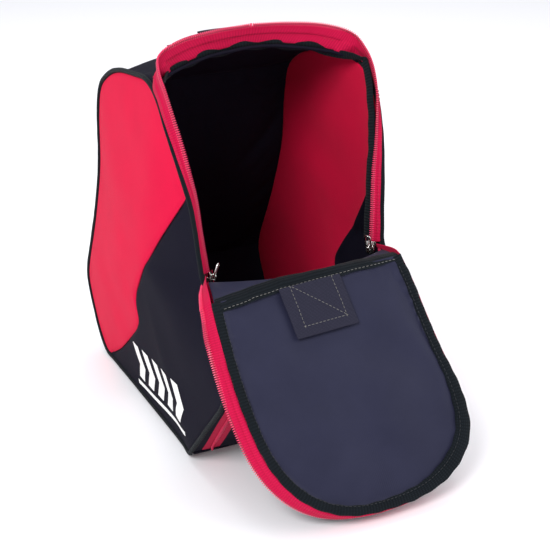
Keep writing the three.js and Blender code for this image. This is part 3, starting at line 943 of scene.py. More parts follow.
def spread_uv(piece):
    """A flat UV map in metres: each face is laid out along the two axes that it faces least."""
    mesh = piece.data
    layer = (mesh.uv_layers.active or mesh.uv_layers.new(name="cloth")).data
    for face in mesh.polygons:
        normal = [abs(c) for c in face.normal]
        skip = normal.index(max(normal))
        keep = [axis for axis in range(3) if axis != skip]
        for index in face.loop_indices:
            co = mesh.vertices[mesh.loops[index].vertex_index].co
            layer[index].uv = (co[keep[0]], co[keep[1]])


# ---------------------------------------------------------------- swept ribbons

def sweep(name, frames, profile, widen=None):
    """A closed profile (across, up) in millimetres carried along frames, with a UV map in metres.
    widen(share) gives how many times wider it is at a share of the way."""
    count = len(profile)
    wide = [widen(i / (len(frames) - 1)) if widen else 1.0 for i in range(len(frames))]
    verts = [f[0] + f[1] * (a * w) + f[2] * b for f, w in zip(frames, wide) for a, b in profile]
    faces = []
    for i in range(len(frames) - 1):
        for k in range(count):
            a, b = i * count + k, i * count + (k + 1) % count
            faces.append((a, b, b + count, a + count))
    faces.append(tuple(reversed(range(count))))
    faces.append(tuple(range((len(frames) - 1) * count, len(frames) * count)))
    mesh = bpy.data.meshes.new(name)
    mesh.from_pydata([v * MM for v in verts], [], faces)
    run = [0.0]
    for a, b in zip(frames, frames[1:]):
        run.append(run[-1] + (b[0] - a[0]).length * MM)
    girth = [0.0]
    for k in range(count):
        a, b = profile[k], profile[(k + 1) % count]
        girth.append(girth[-1] + math.hypot(b[0] - a[0], b[1] - a[1]) * MM)
    layer = mesh.uv_layers.new(name="cloth").data
    for face in mesh.polygons[:(len(frames) - 1) * count]:
        i, k = divmod(face.index, count)
        near, far = girth[k], girth[k + 1]
        corners = ((near, run[i]), (far, run[i]), (far, run[i + 1]), (near, run[i + 1]))
        for index, uv in zip(face.loop_indices, corners):
            layer[index].uv = uv
    piece = bpy.data.objects.new(name, mesh)
    bpy.context.scene.collection.objects.link(piece)
    work = bmesh.new()
    work.from_mesh(mesh)
    bmesh.ops.recalc_face_normals(work, faces=work.faces[:])
    work.to_mesh(mesh)
    work.free()
    pick(piece)
    bpy.ops.object.shade_smooth_by_angle(angle=math.radians(42))
    return piece


def flat_profile(width, thick, steps=6, crown=0.0):
    """The section of a woven ribbon: flat, with rounded edges, and a crown if it is padded."""
    half, turn = width / 2 - thick / 2, math.pi
    points = []
    for i in range(5):
        angle = -turn / 2 + turn * i / 4
        points.append((half + thick / 2 * math.cos(angle), thick / 2 * math.sin(angle)))
    for i in range(1, steps):
        a = lerp(half, -half, i / steps)
        points.append((a, thick / 2 + crown * (1 - (a / half) ** 2)))
    for i in range(5):
        angle = turn / 2 + turn * i / 4
        points.append((-half + thick / 2 * math.cos(angle), thick / 2 * math.sin(angle)))
    for i in range(1, steps):
        points.append((lerp(-half, half, i / steps), -thick / 2))
    return points


# ---------------------------------------------------------------- the opening

LAST_KNOT = len(OPENING) - 1
OPENING_START = 0.1
COIL_SPAN = (0.012, 0.999)
SIDE_END = 6.7
TOP_START = 7.6


def coil_at(knot):
    """The zip coil's place at a place counted in the opening's points."""
    return opening(knot / LAST_KNOT)


def nearest_seam(place):
    """The point of the side seam, above the front, that is nearest to a place."""
    spots = [outline_at(lerp(7.9, 13.9, i / 240)) for i in range(241)]
    return min(spots, key=lambda p: (p - place).length)


def seam_for(knot):
    """The place on the body seam that belongs to a place on the opening's edge."""
    on_side = nearest_seam(coil_at(knot))
    on_top = top_edge(min(1.0, (LAST_KNOT - knot) / (LAST_KNOT - TOP_START)))
    return on_side.lerp(on_top, smooth((knot - SIDE_END) / (TOP_START - SIDE_END)))


def opening_stations(count):
    """Coil place, seam place and outward direction at even steps from the right slider to the left one."""
    half = [lerp(OPENING_START, LAST_KNOT, i / count) for i in range(count + 1)]
    found = []
    for knot in half:
        coil, seam = coil_at(knot), seam_for(knot)
        ahead = coil_at(min(LAST_KNOT, knot + 0.05)) - coil_at(max(0.0, knot - 0.05))
        out = (seam - coil).cross(ahead).normalized()
        found.append((coil, seam, out if out.y < 0.2 or out.z > 0 else -out))
    mirrored = [(Vector((-c.x, c.y, c.z)), Vector((-s.x, s.y, s.z)), Vector((-o.x, o.y, o.z)))
                for c, s, o in found[-2::-1]]
    return found + mirrored


def build_opening():
    """The red tape round the opening, folded cloth over its outer half, with its coil and bindings."""
    stations = opening_stations(110)
    turn_out = 1.0 if stations[40][2].dot(Vector((1, -0.6, 0.2))) > 0 else -1.0

    def surface(u, v):
        place = v * (len(stations) - 1)
        i = min(int(place), len(stations) - 2)
        share = place - i
        coil, seam, out = (stations[i][k].lerp(stations[i + 1][k], share) for k in range(3))
        fold = 1.5 * smooth((u - 0.42) / 0.06) - 0.5 * smooth((u - 0.5) / 0.5)
        wave = 0.5 * ripple(v * 30, u * 2, 9) * math.sin(math.pi * u)
        return coil.lerp(seam, 0.03 + 1.03 * u) + out * turn_out * (fold + wave)

    tape = cloth_grid("opening_tape_cloth", surface, 22, 260)
    thicken(tape, 1.2, offset=0.0)
    dress(tape, zip_tape_cloth(), "root", "zip_tape", "right_body_zip_tape", "left_body_zip_tape",
          "top_zip_tape")
    seam_line = [surface(0.55, 0.01 + 0.98 * i / 400) for i in range(401)]
    outs = [stations[min(len(stations) - 1, round(i / 400 * (len(stations) - 1)))][2] * turn_out
            for i in range(401)]
    line = rail([tuple(p) for p in seam_line[::4]])
    path = evenly(line, 0, 1, STITCH_PITCH)
    ups = [outs[round(i / len(path) * 400)] for i in range(len(path))]
    row = frames_along([p + up * 0.9 for p, up in zip(path, ups)], lambda i: ups[i])[1:-1]
    dress(row_of("opening_tape_stitches", row, STITCH), red_thread(), "root", "zip_tape")
    for side, hand in SIDES:
        path = evenly(opening, *COIL_SPAN, COIL_PITCH)
        mirrored = [Vector((hand * p.x, p.y, p.z)) for p in path]
        knots = [lerp(*COIL_SPAN, i / (len(path) - 1)) * LAST_KNOT for i in range(len(path))]
        half = len(stations) // 2

        def out_at(i, hand=hand, knots=knots):
            k = min(half, max(0, round((knots[i] - OPENING_START) / (LAST_KNOT - OPENING_START) * half)))
            out = stations[k][2] * turn_out
            return Vector((hand * out.x, out.y, out.z))

        turns = row_of(f"{side}_opening_coil_turns", frames_along(mirrored, out_at), COIL_TOOTH)
        dress(turns, coil_nylon(), "root", "zip_coil", f"{side}_body_zip_coil")
        core = cord_along(f"{side}_opening_coil_core", mirrored[::3], COIL_CORE)
        dress(core, coil_cord(), "root", "zip_coil")
    opening_binding()


def opening_binding():
    """Grosgrain over the raw edges inside the opening; along the top it hangs free and so goes wavy."""
    points, downs = [], []
    for i in range(30):
        knot = lerp(0.12, 6.3, i / 29)
        coil = coil_at(knot)
        arm = (seam_for(knot) - coil).normalized()
        middle = coil + arm * 2.4 + Vector((-2.8, 9.0, 0))
        points.append(middle + Vector((0.9 * ripple(knot * 2, 1, 5), 1.4 * ripple(knot * 1.6, 2, 5), 0)))
        downs.append(Vector((-0.2, 1, 0)))
    half = len(points)
    for i in range(41):
        side = lerp(0.84, -0.84, i / 40)
        wave = 2.6 * ripple(side * 6.5, 0.3, 2) + 1.8 * math.sin(side * 19)
        points.append(top_edge(side) + Vector((0, 2.0 + 0.6 * wave, -3.2 - 0.8 * wave)))
        downs.append(Vector((0, 0.25 + 0.35 * ripple(i * 0.3, 0.7, 6), -1)))
    for point, down in zip(points[half - 1::-1], downs[half - 1::-1]):
        points.append(Vector((-point.x, point.y + 0.8 * ripple(point.z / 20, 3, 9), point.z)))
        downs.append(Vector((-down.x, down.y, down.z)))
    line, lean = rail([tuple(p) for p in points]), rail([tuple(d) for d in downs])
    count = 330
    frames = []
    for i in range(count + 1):
        p = line(i / count)
        along = (line(min(1, (i + 1) / count)) - line(max(0, (i - 1) / count))).normalized()
        down = lean(i / count)
        down = (down - along * down.dot(along)).normalized()
        frames.append((p, down, along.cross(down), along))
    profile = flat_profile(size_of("binding_width"), 1.9, crown=0.4)
    piece = sweep("opening_binding_tape", frames, profile)
    dress(piece, binding_tape(), "root", "binding", "right_inner_binding", "left_inner_binding",
          "top_inner_binding")


# ---------------------------------------------------------------- the flap

FLAP_START = 4.0
FLAP_STRAIGHT = FLAP_BEND * 0.85
FLAP_COIL_OUT = 11.5
FLAP_LEAN = 11.0


def flap_axes(slope):
    """Across, away from the fold and towards the lining, for one slope of the flap."""
    angle, skew = math.radians(slope), math.radians(FLAP_SKEW)
    down = Vector((0, -math.cos(angle), -math.sin(angle)))
    side = Vector((1, 0, 0))
    across = side * math.cos(skew) - down * math.sin(skew)
    away = down * math.cos(skew) + side * math.sin(skew)
    return across, away, Vector((0, -math.sin(angle), math.cos(angle)))


def bent_axes(axes, turn):
    """The same three axes turned about the first one, away from the lining."""
    across, away, inner = axes
    return (across, away * math.cos(turn) - inner * math.sin(turn),
            inner * math.cos(turn) + away * math.sin(turn))


LOWER_AXES = flap_axes(FLAP_SLOPE)
TIP_AXES = bent_axes(LOWER_AXES, math.radians(TIP_SLOPE - FLAP_SLOPE))


def flap_point(x, s, h):
    """A place on the flap: x across it, s away from the fold, h above it on the lining's side."""
    across, away, inner = LOWER_AXES
    fold = Vector(FOLD)
    x -= FLAP_LEAN * (1 - s / FLAP_END)
    lower = fold + across * x + away * s + inner * h
    bend = fold + away * FLAP_BEND
    tip = bend + across * x + TIP_AXES[1] * (s - FLAP_BEND) + TIP_AXES[2] * h
    return lower.lerp(tip, smooth((s - FLAP_BEND + 40) / 80))


def flap_plan(side, v, inset):
    """A place inside the flap's outline: side -1 to 1 across, v 0 at the fold and 1 at the round end."""
    turn = side * math.pi / 2
    power = 2 / FLAP_ROUNDNESS
    far_x = (FLAP_HALF - inset) * math.copysign(abs(math.sin(turn)) ** power, side)
    reach = FLAP_END - inset - FLAP_STRAIGHT
    far_s = FLAP_STRAIGHT + reach * max(0.0, math.cos(turn)) ** power
    near_x = (FLAP_ROOT_HALF - inset) * side
    swell = (FLAP_HALF - FLAP_ROOT_HALF) * (math.sin(v * math.pi / 2) - v) * side
    s = lerp(FLAP_START, far_s, v)
    worn = max(0.0, side) * (10 * math.exp(-((s - 200) / 34) ** 2) - 7 * math.exp(-((s - 90) / 56) ** 2))
    return lerp(near_x, far_x, v) + swell + worn, s


def flap_rim(inset, count=120):
    """The U-shaped edge of the flap from its left root round to its right root, as (x, s)."""
    found = []
    straight = count // 4
    for i in range(straight):
        found.append(flap_plan(-1, i / straight, inset))
    for i in range(count - 2 * straight + 1):
        found.append(flap_plan(lerp(-1, 1, i / (count - 2 * straight)), 1.0, inset))
    for i in range(straight):
        found.append(flap_plan(1, 1 - (i + 1) / straight, inset))
    return found


def flap_blend(piece):
    """Bakes the transform of a piece of the flap into its mesh; the piece already bends between the flap's
    two stretches where flap_point made it.
    """
    start, end = flap_point(0, FLAP_BEND - 34, 0), flap_point(0, FLAP_BEND + 34, 0)
    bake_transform(piece)
    return piece


def edge_room(side, v):
    """How far a place is from the flap's edge, from 0 at the edge to 1 well inside."""
    return smooth(min((1 - abs(side)) * 3.4, (1 - v) * 4.5, v * 5))


def build_flap():
    """Outer cloth, padded lining, edge binding, zip tape and coil, all bending with the flap."""
    def lining_surface(u, v):
        side = 2 * u - 1
        x, s = flap_plan(side, v, 4.5)
        under_patch = math.exp(-((x / 44) ** 4)) * math.exp(-(((s - 45) / 34) ** 4))
        puff = 3.0 * edge_room(side, v) * (1 - 0.75 * under_patch)
        soft = 2.6 * ripple(x / 52, s / 40, 4) * edge_room(side, v) * (1 - under_patch)
        pucker = 0.7 * math.sin(s * 0.55 + 3 * ripple(s / 30, side, 5)) * smooth(4 * abs(side) - 3.2)
        return flap_point(x, s, 2.4 + puff + soft + pucker)

    lining = cloth_grid("flap_lining_cloth", lining_surface, 76, 84)
    face_up(lining)
    ruffle(lining, 0.010, 3.2, push=0.25)
    thicken(lining, 0.8)
    dress(lining, lining_cloth(), None, "lining", "flap_lining_lower", "flap_lining_tip")
    flap_blend(lining)

    def outer_surface(u, v):
        side = 2 * u - 1
        x, s = flap_plan(side, v, 1.0)
        puff = 2.2 * edge_room(side, v)
        soft = 1.2 * ripple(x / 50, s / 44, 8) * edge_room(side, v)
        low = flap_point(x, s, 0)
        drop = min(puff + soft, max(0.0, low.z - 3.0))
        return flap_point(x, s, -2.2 - drop)

    outer = cloth_grid("flap_outer_cloth_pad", outer_surface, 70, 80)
    face_up(outer, -1)
    ruffle(outer, 0.004, 0.8)
    thicken(outer, 2.2)
    dress(outer, black_shell(), None, "black_shell", "flap_panel_lower", "flap_panel_tip")
    flap_blend(outer)

    rim_piece("flap_edge_binding_tape", 4.6, 1.4,
              flat_profile(size_of("binding_width"), 3.6, crown=0.7), binding_tape(), "binding", 1.0,
              "right_flap_binding", "left_flap_binding", "flap_binding_tip",
              widen=binding_width)
    rim_piece("flap_zip_tape_ribbon", -0.5, 0.0, flat_profile(12.0, 1.0), zip_tape_cloth(),
              "zip_tape", 0.5, "right_flap_zip_tape", "left_flap_zip_tape", "flap_zip_tape_tip", hang=5.0)
    rim_piece("flap_zip_tape_hem", -0.5, 0.6, flat_profile(5.4, 1.4, crown=0.3), zip_tape_cloth(),
              "zip_tape", 0.5, hang=2.4)
    flap_coil()
    rim_stitches("flap_binding_stitches", 8.4, 3.9, dark_thread(), "binding")


def binding_width(share):
    """The binding is bunched and wider round the far corner of the flap, and puckers all along."""
    bunch = 0.75 * math.exp(-((share - 0.66) / 0.11) ** 2)
    return 1 + bunch + 0.07 * math.sin(share * 190) + 0.10 * ripple(share * 26, 0, 41)


def face_up(piece, sign=1):
    """Turns an open grid of the flap so that its faces look towards the lining's side, or away."""
    mesh = piece.data
    facing = sum(p.normal.dot(LOWER_AXES[2]) for p in mesh.polygons) * sign
    if facing < 0:
        mesh.flip_normals()
        mesh.update()


def rim_curl(share):
    """How far the tape is turned down at a share of the way round the rim, in radians."""
    root = 46 * (1 - smooth(share / 0.11))
    return math.radians(14 + root + 80 * smooth((share - 0.16) / 0.36) - 12 * smooth((share - 0.6) / 0.2))


def rim_curves(inset, h, count=150, wander=0.0, hang=0.0):
    """Two curves along the flap's edge: places, and directions out of the cloth. What hangs is that
    far outside the edge, and turned down by the curl."""
    edge, outer = flap_rim(inset, count), flap_rim(inset - 4, count)
    points, ups = [], []
    for i, ((x, s), (far_x, far_s)) in enumerate(zip(edge, outer)):
        place = flap_point(x, s, h)
        out = (flap_point(far_x, far_s, h) - place).normalized()
        inner = (flap_point(x, s, h + 1) - place).normalized()
        turn = rim_curl(i / (len(edge) - 1)) if hang else 0.0
        wave = wander * ripple(i * 0.12, inset, 3)
        points.append(place + (out * math.cos(turn) - inner * math.sin(turn)) * hang + inner * wave)
        ups.append(inner * math.cos(turn) + out * math.sin(turn))
    curve = rail([tuple(p) for p in points])
    lift = rail([tuple(p) for p in ups])
    return curve, lift


def rim_path(inset, h, step, start=0.0, end=1.0, **more):
    """Frames step apart along the flap's edge, from one share of the way round to another."""
    curve, lift = rim_curves(inset, h, **more)
    path = evenly(curve, start, end, step)
    count = len(path) - 1
    return frames_along(path, lambda i: lift(lerp(start, end, i / count)))


def rim_piece(name, inset, h, profile, material, slot, wander, *nodes, hang=0.0, widen=None):
    """A ribbon that follows the flap's U-shaped edge."""
    piece = sweep(name, rim_path(inset, h, 3.0, wander=wander, hang=hang), profile, widen=widen)
    lift_off_floor(piece)
    dress(piece, material, None, slot, *nodes)
    return flap_blend(piece)


def lift_off_floor(piece, lowest=0.3):
    """Flattens what would go through the floor against it."""
    for vertex in piece.data.vertices:
        vertex.co.z = max(vertex.co.z, lowest * MM)


def flap_coil():
    """The coil on the outer edge of the flap's tape, and the cord inside it."""
    turns = row_of("flap_coil_turns", rim_path(-0.5, 0.0, COIL_PITCH, hang=FLAP_COIL_OUT), COIL_TOOTH)
    lift_off_floor(turns)
    dress(turns, coil_nylon(), None, "zip_coil", "right_flap_zip_coil", "left_flap_zip_coil",
          "flap_zip_coil_tip")
    flap_blend(turns)
    path = [f[0] for f in rim_path(-0.5, 0.0, 5.0, hang=FLAP_COIL_OUT)]
    core = cord_along("flap_coil_core", path, COIL_CORE)
    lift_off_floor(core)
    dress(core, coil_cord(), None, "zip_coil")
    flap_blend(core)


def rim_stitches(name, inset, h, thread, slot):
    """A row of stitches that follows the flap's edge."""
    piece = row_of(name, rim_path(inset, h, 4.4, 0.03, 0.97), STITCH)
    dress(piece, thread, None, slot)
    return flap_blend(piece)


def fold_point(side, q, lift=0.0):
    """A place on the cloth that turns over the front lip: q millimetres past the flap's own start,
    negative on the way back to the lip."""
    x = (FLAP_ROOT_HALF - FLAP_INSET) * side
    if q >= 0:
        return flap_point(x, HINGE_END + q, HINGE_HEIGHT + lift)
    lip = front_point(LIP_HALF * side, 1.0) + Vector((0, 0, 0.6))
    flap = flap_point(x, HINGE_END, HINGE_HEIGHT)
    v = max(0.0, 1 + q / (flap - lip).length)
    out = Vector((0, -0.5, 0.86))
    return lip.lerp(flap, v) + out * (2.6 * math.sin(math.pi * v) + lift)


def build_fold():
    """The cloth that turns over the front lip, and the ribbed binding sewn along the fold."""
    def hinge_surface(u, v):
        side = 2 * u - 1
        lip = front_point(LIP_HALF * side, 1.0)
        end = flap_point((FLAP_ROOT_HALF - FLAP_INSET) * side, HINGE_END, HINGE_HEIGHT)
        span = (end - lip).length
        wave = 0.8 * ripple(side * 4, v * 2, 13) * math.sin(math.pi * v)
        return fold_point(side, -span * (1 - v) - 0.001, wave)

    hinge = cloth_grid("fold_hinge_cloth", hinge_surface, 64, 16)
    face_up(hinge)
    thicken(hinge, 1.2)
    dress(hinge, lining_cloth(), None, "lining")
    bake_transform(hinge)

    def band_surface(u, v):
        side = 2 * u - 1
        top = lerp(-13.5, -18.0, smooth((side + 1.0) / 0.7))
        ridge = 1.6 * math.sin(math.pi * v) + 0.7 * ripple(side * 7, v * 1.5, 17)
        return fold_point(side * 0.995, top + 18.0 * v + 0.6 * ripple(side * 5, 0, 3), 1.5 + ridge)

    band = cloth_grid("fold_binding_tape", band_surface, 100, 12)
    face_up(band)
    thicken(band, 1.3, offset=0.0)
    dress(band, binding_tape(), None, "binding", "fold_binding")
    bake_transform(band)
    line = [band_surface(0.02 + 0.96 * i / 60, 0.87) + LOWER_AXES[2] * 0.8 for i in range(61)]
    path = evenly(rail([tuple(p) for p in line]), 0, 1, 4.4)
    seam = row_of("fold_binding_stitches", frames_along(path, lambda i: LOWER_AXES[2])[1:-1], STITCH)
    dress(seam, grey_thread(), None, "binding")
    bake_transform(seam)
    for side, hand in SIDES:
        corner_tape(side, hand)


def corner_tape(side, hand):
    """The zip between its slider and the flap: tape and coil that arc over the end of the fold."""
    rim = rim_path(-0.5, 0.0, 3.0, hang=5.0)
    joined = rim[:6] if hand < 0 else rim[:-7:-1]
    coil_end = Vector((hand * OPENING[0][0], OPENING[0][1], OPENING[0][2]))
    start = coil_end + Vector((hand * 5.0, -3.0, 1.0))
    crest = start.lerp(joined[0][0], 0.5) + Vector((hand * 1.5, -1.0, 4.0 if hand < 0 else 1.0))
    line = rail([tuple(start), tuple(crest), *(tuple(f[0]) for f in joined)])
    path = evenly(line, 0, 1, 3.0)
    first, last = Vector((hand * 0.9, -0.3, 0.3)), joined[0][2]
    count = len(path) - 1
    frames = frames_along(path, lambda i: first.lerp(last, smooth(1.3 * i / count)))
    tape = sweep(f"{side}_corner_tape_ribbon", frames, flat_profile(12.0, 1.1),
                 widen=lambda share: lerp(0.35, 1.0, smooth(share * 1.3)))
    dress(tape, zip_tape_cloth(), None, "zip_tape")
    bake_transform(tape)
    outward = -1 if hand < 0 else 1
    fine = evenly(line, 0, 1, 2.2)
    count = len(fine) - 1
    turned = frames_along(fine, lambda i: first.lerp(last, smooth(1.3 * i / count)))
    away = outward if turned[-1][1].x > 0 else -outward
    coil = [(f[0] + f[2] * 0.9 + f[1] * 6.3 * away, f[1], f[2], f[3]) for f in turned]
    turns = row_of(f"{side}_corner_coil_turns", coil, COIL_TOOTH)
    dress(turns, coil_nylon(), None, "zip_coil")
    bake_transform(turns)


def build_patches():
    """The sewn reinforcement inside the flap, with its box-and-cross stitching, and its twin outside."""
    def patch_surface(u, v):
        x, s = lerp(-36, 31, u), lerp(7.0, 59.0, v)
        curl = 1.6 * max(0.0, v - 0.8) * abs(2 * u - 1)
        return flap_point(x, s, 4.6 + 0.8 * math.sin(math.pi * u) * math.sin(math.pi * v)
                          + 0.6 * ripple(x / 20, s / 16, 31) + curl)

    patch = cloth_grid("flap_patch_cloth", patch_surface, 30, 24)
    face_up(patch)
    thicken(patch, 1.1, offset=0.0)
    dress(patch, patch_cloth(), "flap", "webbing", "flap_patch")
    inner = LOWER_AXES[2]
    runs = [((0.18, 0.02), (0.18, 0.80)), ((0.18, 0.80), (0.86, 0.80)), ((0.86, 0.80), (0.86, 0.02)),
            ((0.22, 0.04), (0.84, 0.76))]
    points = []
    for a, b in runs:
        line = [patch_surface(lerp(a[0], b[0], i / 20), lerp(a[1], b[1], i / 20)) + inner * 0.75
                for i in range(21)]
        path = evenly(rail([tuple(p) for p in line]), 0, 1, 4.0)
        points.append(frames_along(path, lambda i: inner))
    piece = row_of("flap_patch_stitches", [f for run in points for f in run], STITCH)
    dress(piece, grey_thread(), "flap", "webbing")

    def outside_surface(u, v):
        return flap_point(lerp(-31, 31, u), lerp(22.5, 68.5, v), -7.4 - 0.6 * math.sin(math.pi * u))

    outside = cloth_grid("flap_outer_patch_cloth", outside_surface, 20, 16)
    face_up(outside, -1)
    thicken(outside, 1.3, offset=0.0)
    dress(outside, webbing_cloth(), "flap", "webbing", "flap_outer_patch")


# ---------------------------------------------------------------- hardware and handle

def slider_frame(side, hand):
    """Matrix of a slider: x across its coil, y out of the tape, z along the coil, in millimetres."""
    along = Vector(JOINTS[f"{side}_slider_run"]["axis"]).normalized()
    swing = JOINTS[f"{side}_pull_swing"]
    across = -Vector(swing["axis"]).normalized()
    out = along.cross(across).normalized()
    place = Vector(swing["pos_m"]) / MM - out * 5.6
    turn = Matrix((across * hand, out, along)).transposed().to_4x4()
    return Matrix.Translation(place) @ turn


def metal_from(name, parts, frame_matrix):
    """Joins edited primitives into one piece, rounds its edges and puts it in its place."""
    clear_selection()
    for part in parts:
        part.select_set(True)
    bpy.context.view_layer.objects.active = parts[0]
    if len(parts) > 1:
        bpy.ops.object.join()
    piece = bpy.context.object
    piece.name = name
    piece.data.name = name
    bpy.ops.object.transform_apply(location=True, rotation=True, scale=True)
    edge = piece.modifiers.new("edge", "BEVEL")
    edge.width = 0.28 * MM
    edge.segments = 3
    edge.limit_method = "ANGLE"
    edge.angle_limit = math.radians(35)
    apply_modifiers(piece)
    piece.data.transform(Matrix.Translation(frame_matrix.translation * MM) @ frame_matrix.to_3x3().to_4x4())
    if frame_matrix.to_3x3().determinant() < 0:
        piece.data.flip_normals()
    bpy.ops.object.shade_smooth_by_angle(angle=math.radians(35))
    return piece


def block(size, place, taper=None):
    """A block in millimetres; taper narrows its lower end, along z, by that share."""
    clear_selection()
    bpy.ops.mesh.primitive_cube_add(size=1, location=Vector(place) * MM)
    piece = bpy.context.object
    piece.scale = Vector(size) * MM
    bpy.ops.object.transform_apply(location=True, rotation=True, scale=True)
    if taper:
        middle = place[2] * MM
        for vertex in piece.data.vertices:
            if vertex.co.z < middle:
                vertex.co.x = place[0] * MM + (vertex.co.x - place[0] * MM) * (1 - taper)
    return piece


def build_sliders():
    """Zip sliders: two flared plates joined by a post, a bridge over them, and a wire-like pull."""
    for side, hand in SIDES:
        place = slider_frame(side, hand)
        plates = [block((8.6, 1.1, 13.4), (0.2, y, 0), 0.28) for y in (2.9, -2.9)]
        walls = [block((0.9, 2.2, 7), (x, 2.0, -2.4)) for x in (4.1, -3.7)]
        post = [block((1.6, 5.4, 4), (3.2, 0, -3))]
        body = metal_from(f"{side}_slider_body", plates + walls + post, place)
        dress(body, nickel(), f"{side}_slider", "slider_metal", f"{side}_slider")
        clear_selection()
        bpy.ops.mesh.primitive_torus_add(major_radius=2.3 * MM, minor_radius=0.7 * MM, major_segments=32,
                                         minor_segments=12, location=(0.2 * MM, 5.1 * MM, 0),
                                         rotation=(0, math.pi / 2, 0))
        bridge = bpy.context.object
        bridge.scale = (1.25, 1, 1)
        bridge = metal_from(f"{side}_slider_bridge", [bridge], place)
        dress(bridge, nickel(), f"{side}_slider", "slider_metal")
        build_pull(side, hand, place)


def build_pull(side, hand, place):
    """The pull: a flat loop with a slotted middle, standing up from the bridge."""
    clear_selection()
    outer = [(PULL_HALF, -0.9), (-PULL_HALF, -0.9)]
    for i in range(13):
        turn = math.pi - math.pi * i / 12
        outer.append((PULL_HALF * math.cos(turn), PULL_LENGTH + PULL_HALF * math.sin(turn)))
    bpy.ops.mesh.primitive_circle_add(vertices=len(outer), radius=1, fill_type="NGON")
    piece = bpy.context.object
    for vertex, (x, run) in zip(piece.data.vertices, outer):
        vertex.co = Vector((x, 0, run)) * MM
    bpy.ops.object.mode_set(mode="EDIT")
    bpy.ops.mesh.select_mode(type="FACE")
    bpy.ops.mesh.select_all(action="SELECT")
    bpy.ops.mesh.inset(thickness=PULL_WIRE * MM)
    bpy.ops.mesh.delete(type="FACE")
    bpy.ops.object.mode_set(mode="OBJECT")
    piece.data.transform(Matrix.Rotation(math.radians(90 - PULL_TILT), 4, "X"))
    solid = piece.modifiers.new("depth", "SOLIDIFY")
    solid.thickness = PULL_WIRE * MM
    solid.offset = 0.0
    apply_modifiers(piece)
    piece.data.transform(Matrix.Translation(Vector((0.2, 5.6, 0)) * MM))
    piece = metal_from(f"{side}_pull_loop", [piece], place)
    dress(piece, nickel(), f"{side}_pull", "slider_metal", f"{side}_pull")


HANDLE_HALF = 58.0
HANDLE_Y = -3.0
HANDLE_FOOT = 395.6


def handle_arch(share, lift=0.0):
    """A place along the middle of the handle: share -1 to 1 from its left end to its right one."""
    rise = size_of("handle_rise") * (1 - abs(share) ** 3.2)
    return Vector((HANDLE_HALF * share, HANDLE_Y, HANDLE_FOOT + rise + lift))


def build_handle():
    """The carrying handle: a webbing arch with a padded wrapped grip, sewn down through two patches."""
    def strap(name, low, high, profile, lift, count):
        path = [handle_arch(lerp(low, high, i / count), lift) for i in range(count + 1)]
        return sweep(name, frames_along(path, lambda i: Vector((0, 0, 1))), profile)

    width = size_of("handle_width")
    band = strap("handle_strap_webbing", -1, 1, flat_profile(width, 2.0), -0.9, 60)
    dress(band, webbing_cloth(), "root", "webbing", "handle_webbing")
    round_section = flat_profile(width + 4, 2.2, steps=10, crown=0.8)
    grip = strap("handle_grip_sleeve", -0.52, 0.52, round_section, 0.9, 40)
    dress(grip, black_shell(), "root", "webbing", "handle_grip")
    for side, hand in SIDES:
        low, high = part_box(f"{side}_handle_patch")
        middle = (low + high) / 2 / MM

        def patch_surface(u, v, middle=middle):
            x, y = middle.x * 0.78 + lerp(-12, 12, u), middle.y - 5 + lerp(-13.5, 13.5, v)
            return Vector((x, y, middle.z - 0.9 + 0.3 * math.sin(math.pi * u)))

        patch = cloth_grid(f"{side}_handle_patch_cloth", patch_surface, 14, 14)
        thicken(patch, 1.2, offset=0.0)
        dress(patch, webbing_cloth(), "root", "webbing", f"{side}_handle_patch")


# ---------------------------------------------------------------- stage

FOCUS = Vector((0.05, 0.0, 0.1199))
CAMERA_AZIMUTH = -24.66
CAMERA_ELEVATION = 23.08
CAMERA_DISTANCE = 1.526
CAMERA_ROLL = 0.62
CAMERA_LENS = 88.36
# Name, place and size in metres, and power in watts.
LIGHTS = (
    ("key_left", (-1.6, -1.5, 1.9), 1.0, 53),
    ("fill_right", (1.9, -1.3, 1.4), 1.8, 20),
    ("top_back", (0.2, 1.1, 2.2), 1.8, 24),
)
WORLD_TINT = (0.96, 0.97, 1.0, 1)
WORLD_STRENGTH = 0.68


def build_camera():
    azimuth, elevation = math.radians(CAMERA_AZIMUTH), math.radians(CAMERA_ELEVATION)
    back = Vector((math.sin(azimuth) * math.cos(elevation), -math.cos(azimuth) * math.cos(elevation),
                   math.sin(elevation)))
    clear_selection()
    bpy.ops.object.camera_add(location=FOCUS + back * CAMERA_DISTANCE)
    camera = bpy.context.object
    aim = (-back).to_track_quat("-Z", "Y").to_matrix()
    camera.rotation_euler = (aim @ Matrix.Rotation(math.radians(-CAMERA_ROLL), 3, "Z")).to_euler()
    camera.data.lens = CAMERA_LENS
    camera.data.sensor_width = 36.0
    camera.data.clip_end = 20
    bpy.context.scene.camera = camera


def soft_light(name, place, size, power):
    clear_selection()
    bpy.ops.object.light_add(type="AREA", location=place)
    light = bpy.context.object
    light.name = name
    light.data.size = size
    light.data.energy = power
    aim = Vector((0, -0.05, 0.15)) - Vector(place)
    light.rotation_euler = aim.to_track_quat("-Z", "Y").to_euler()


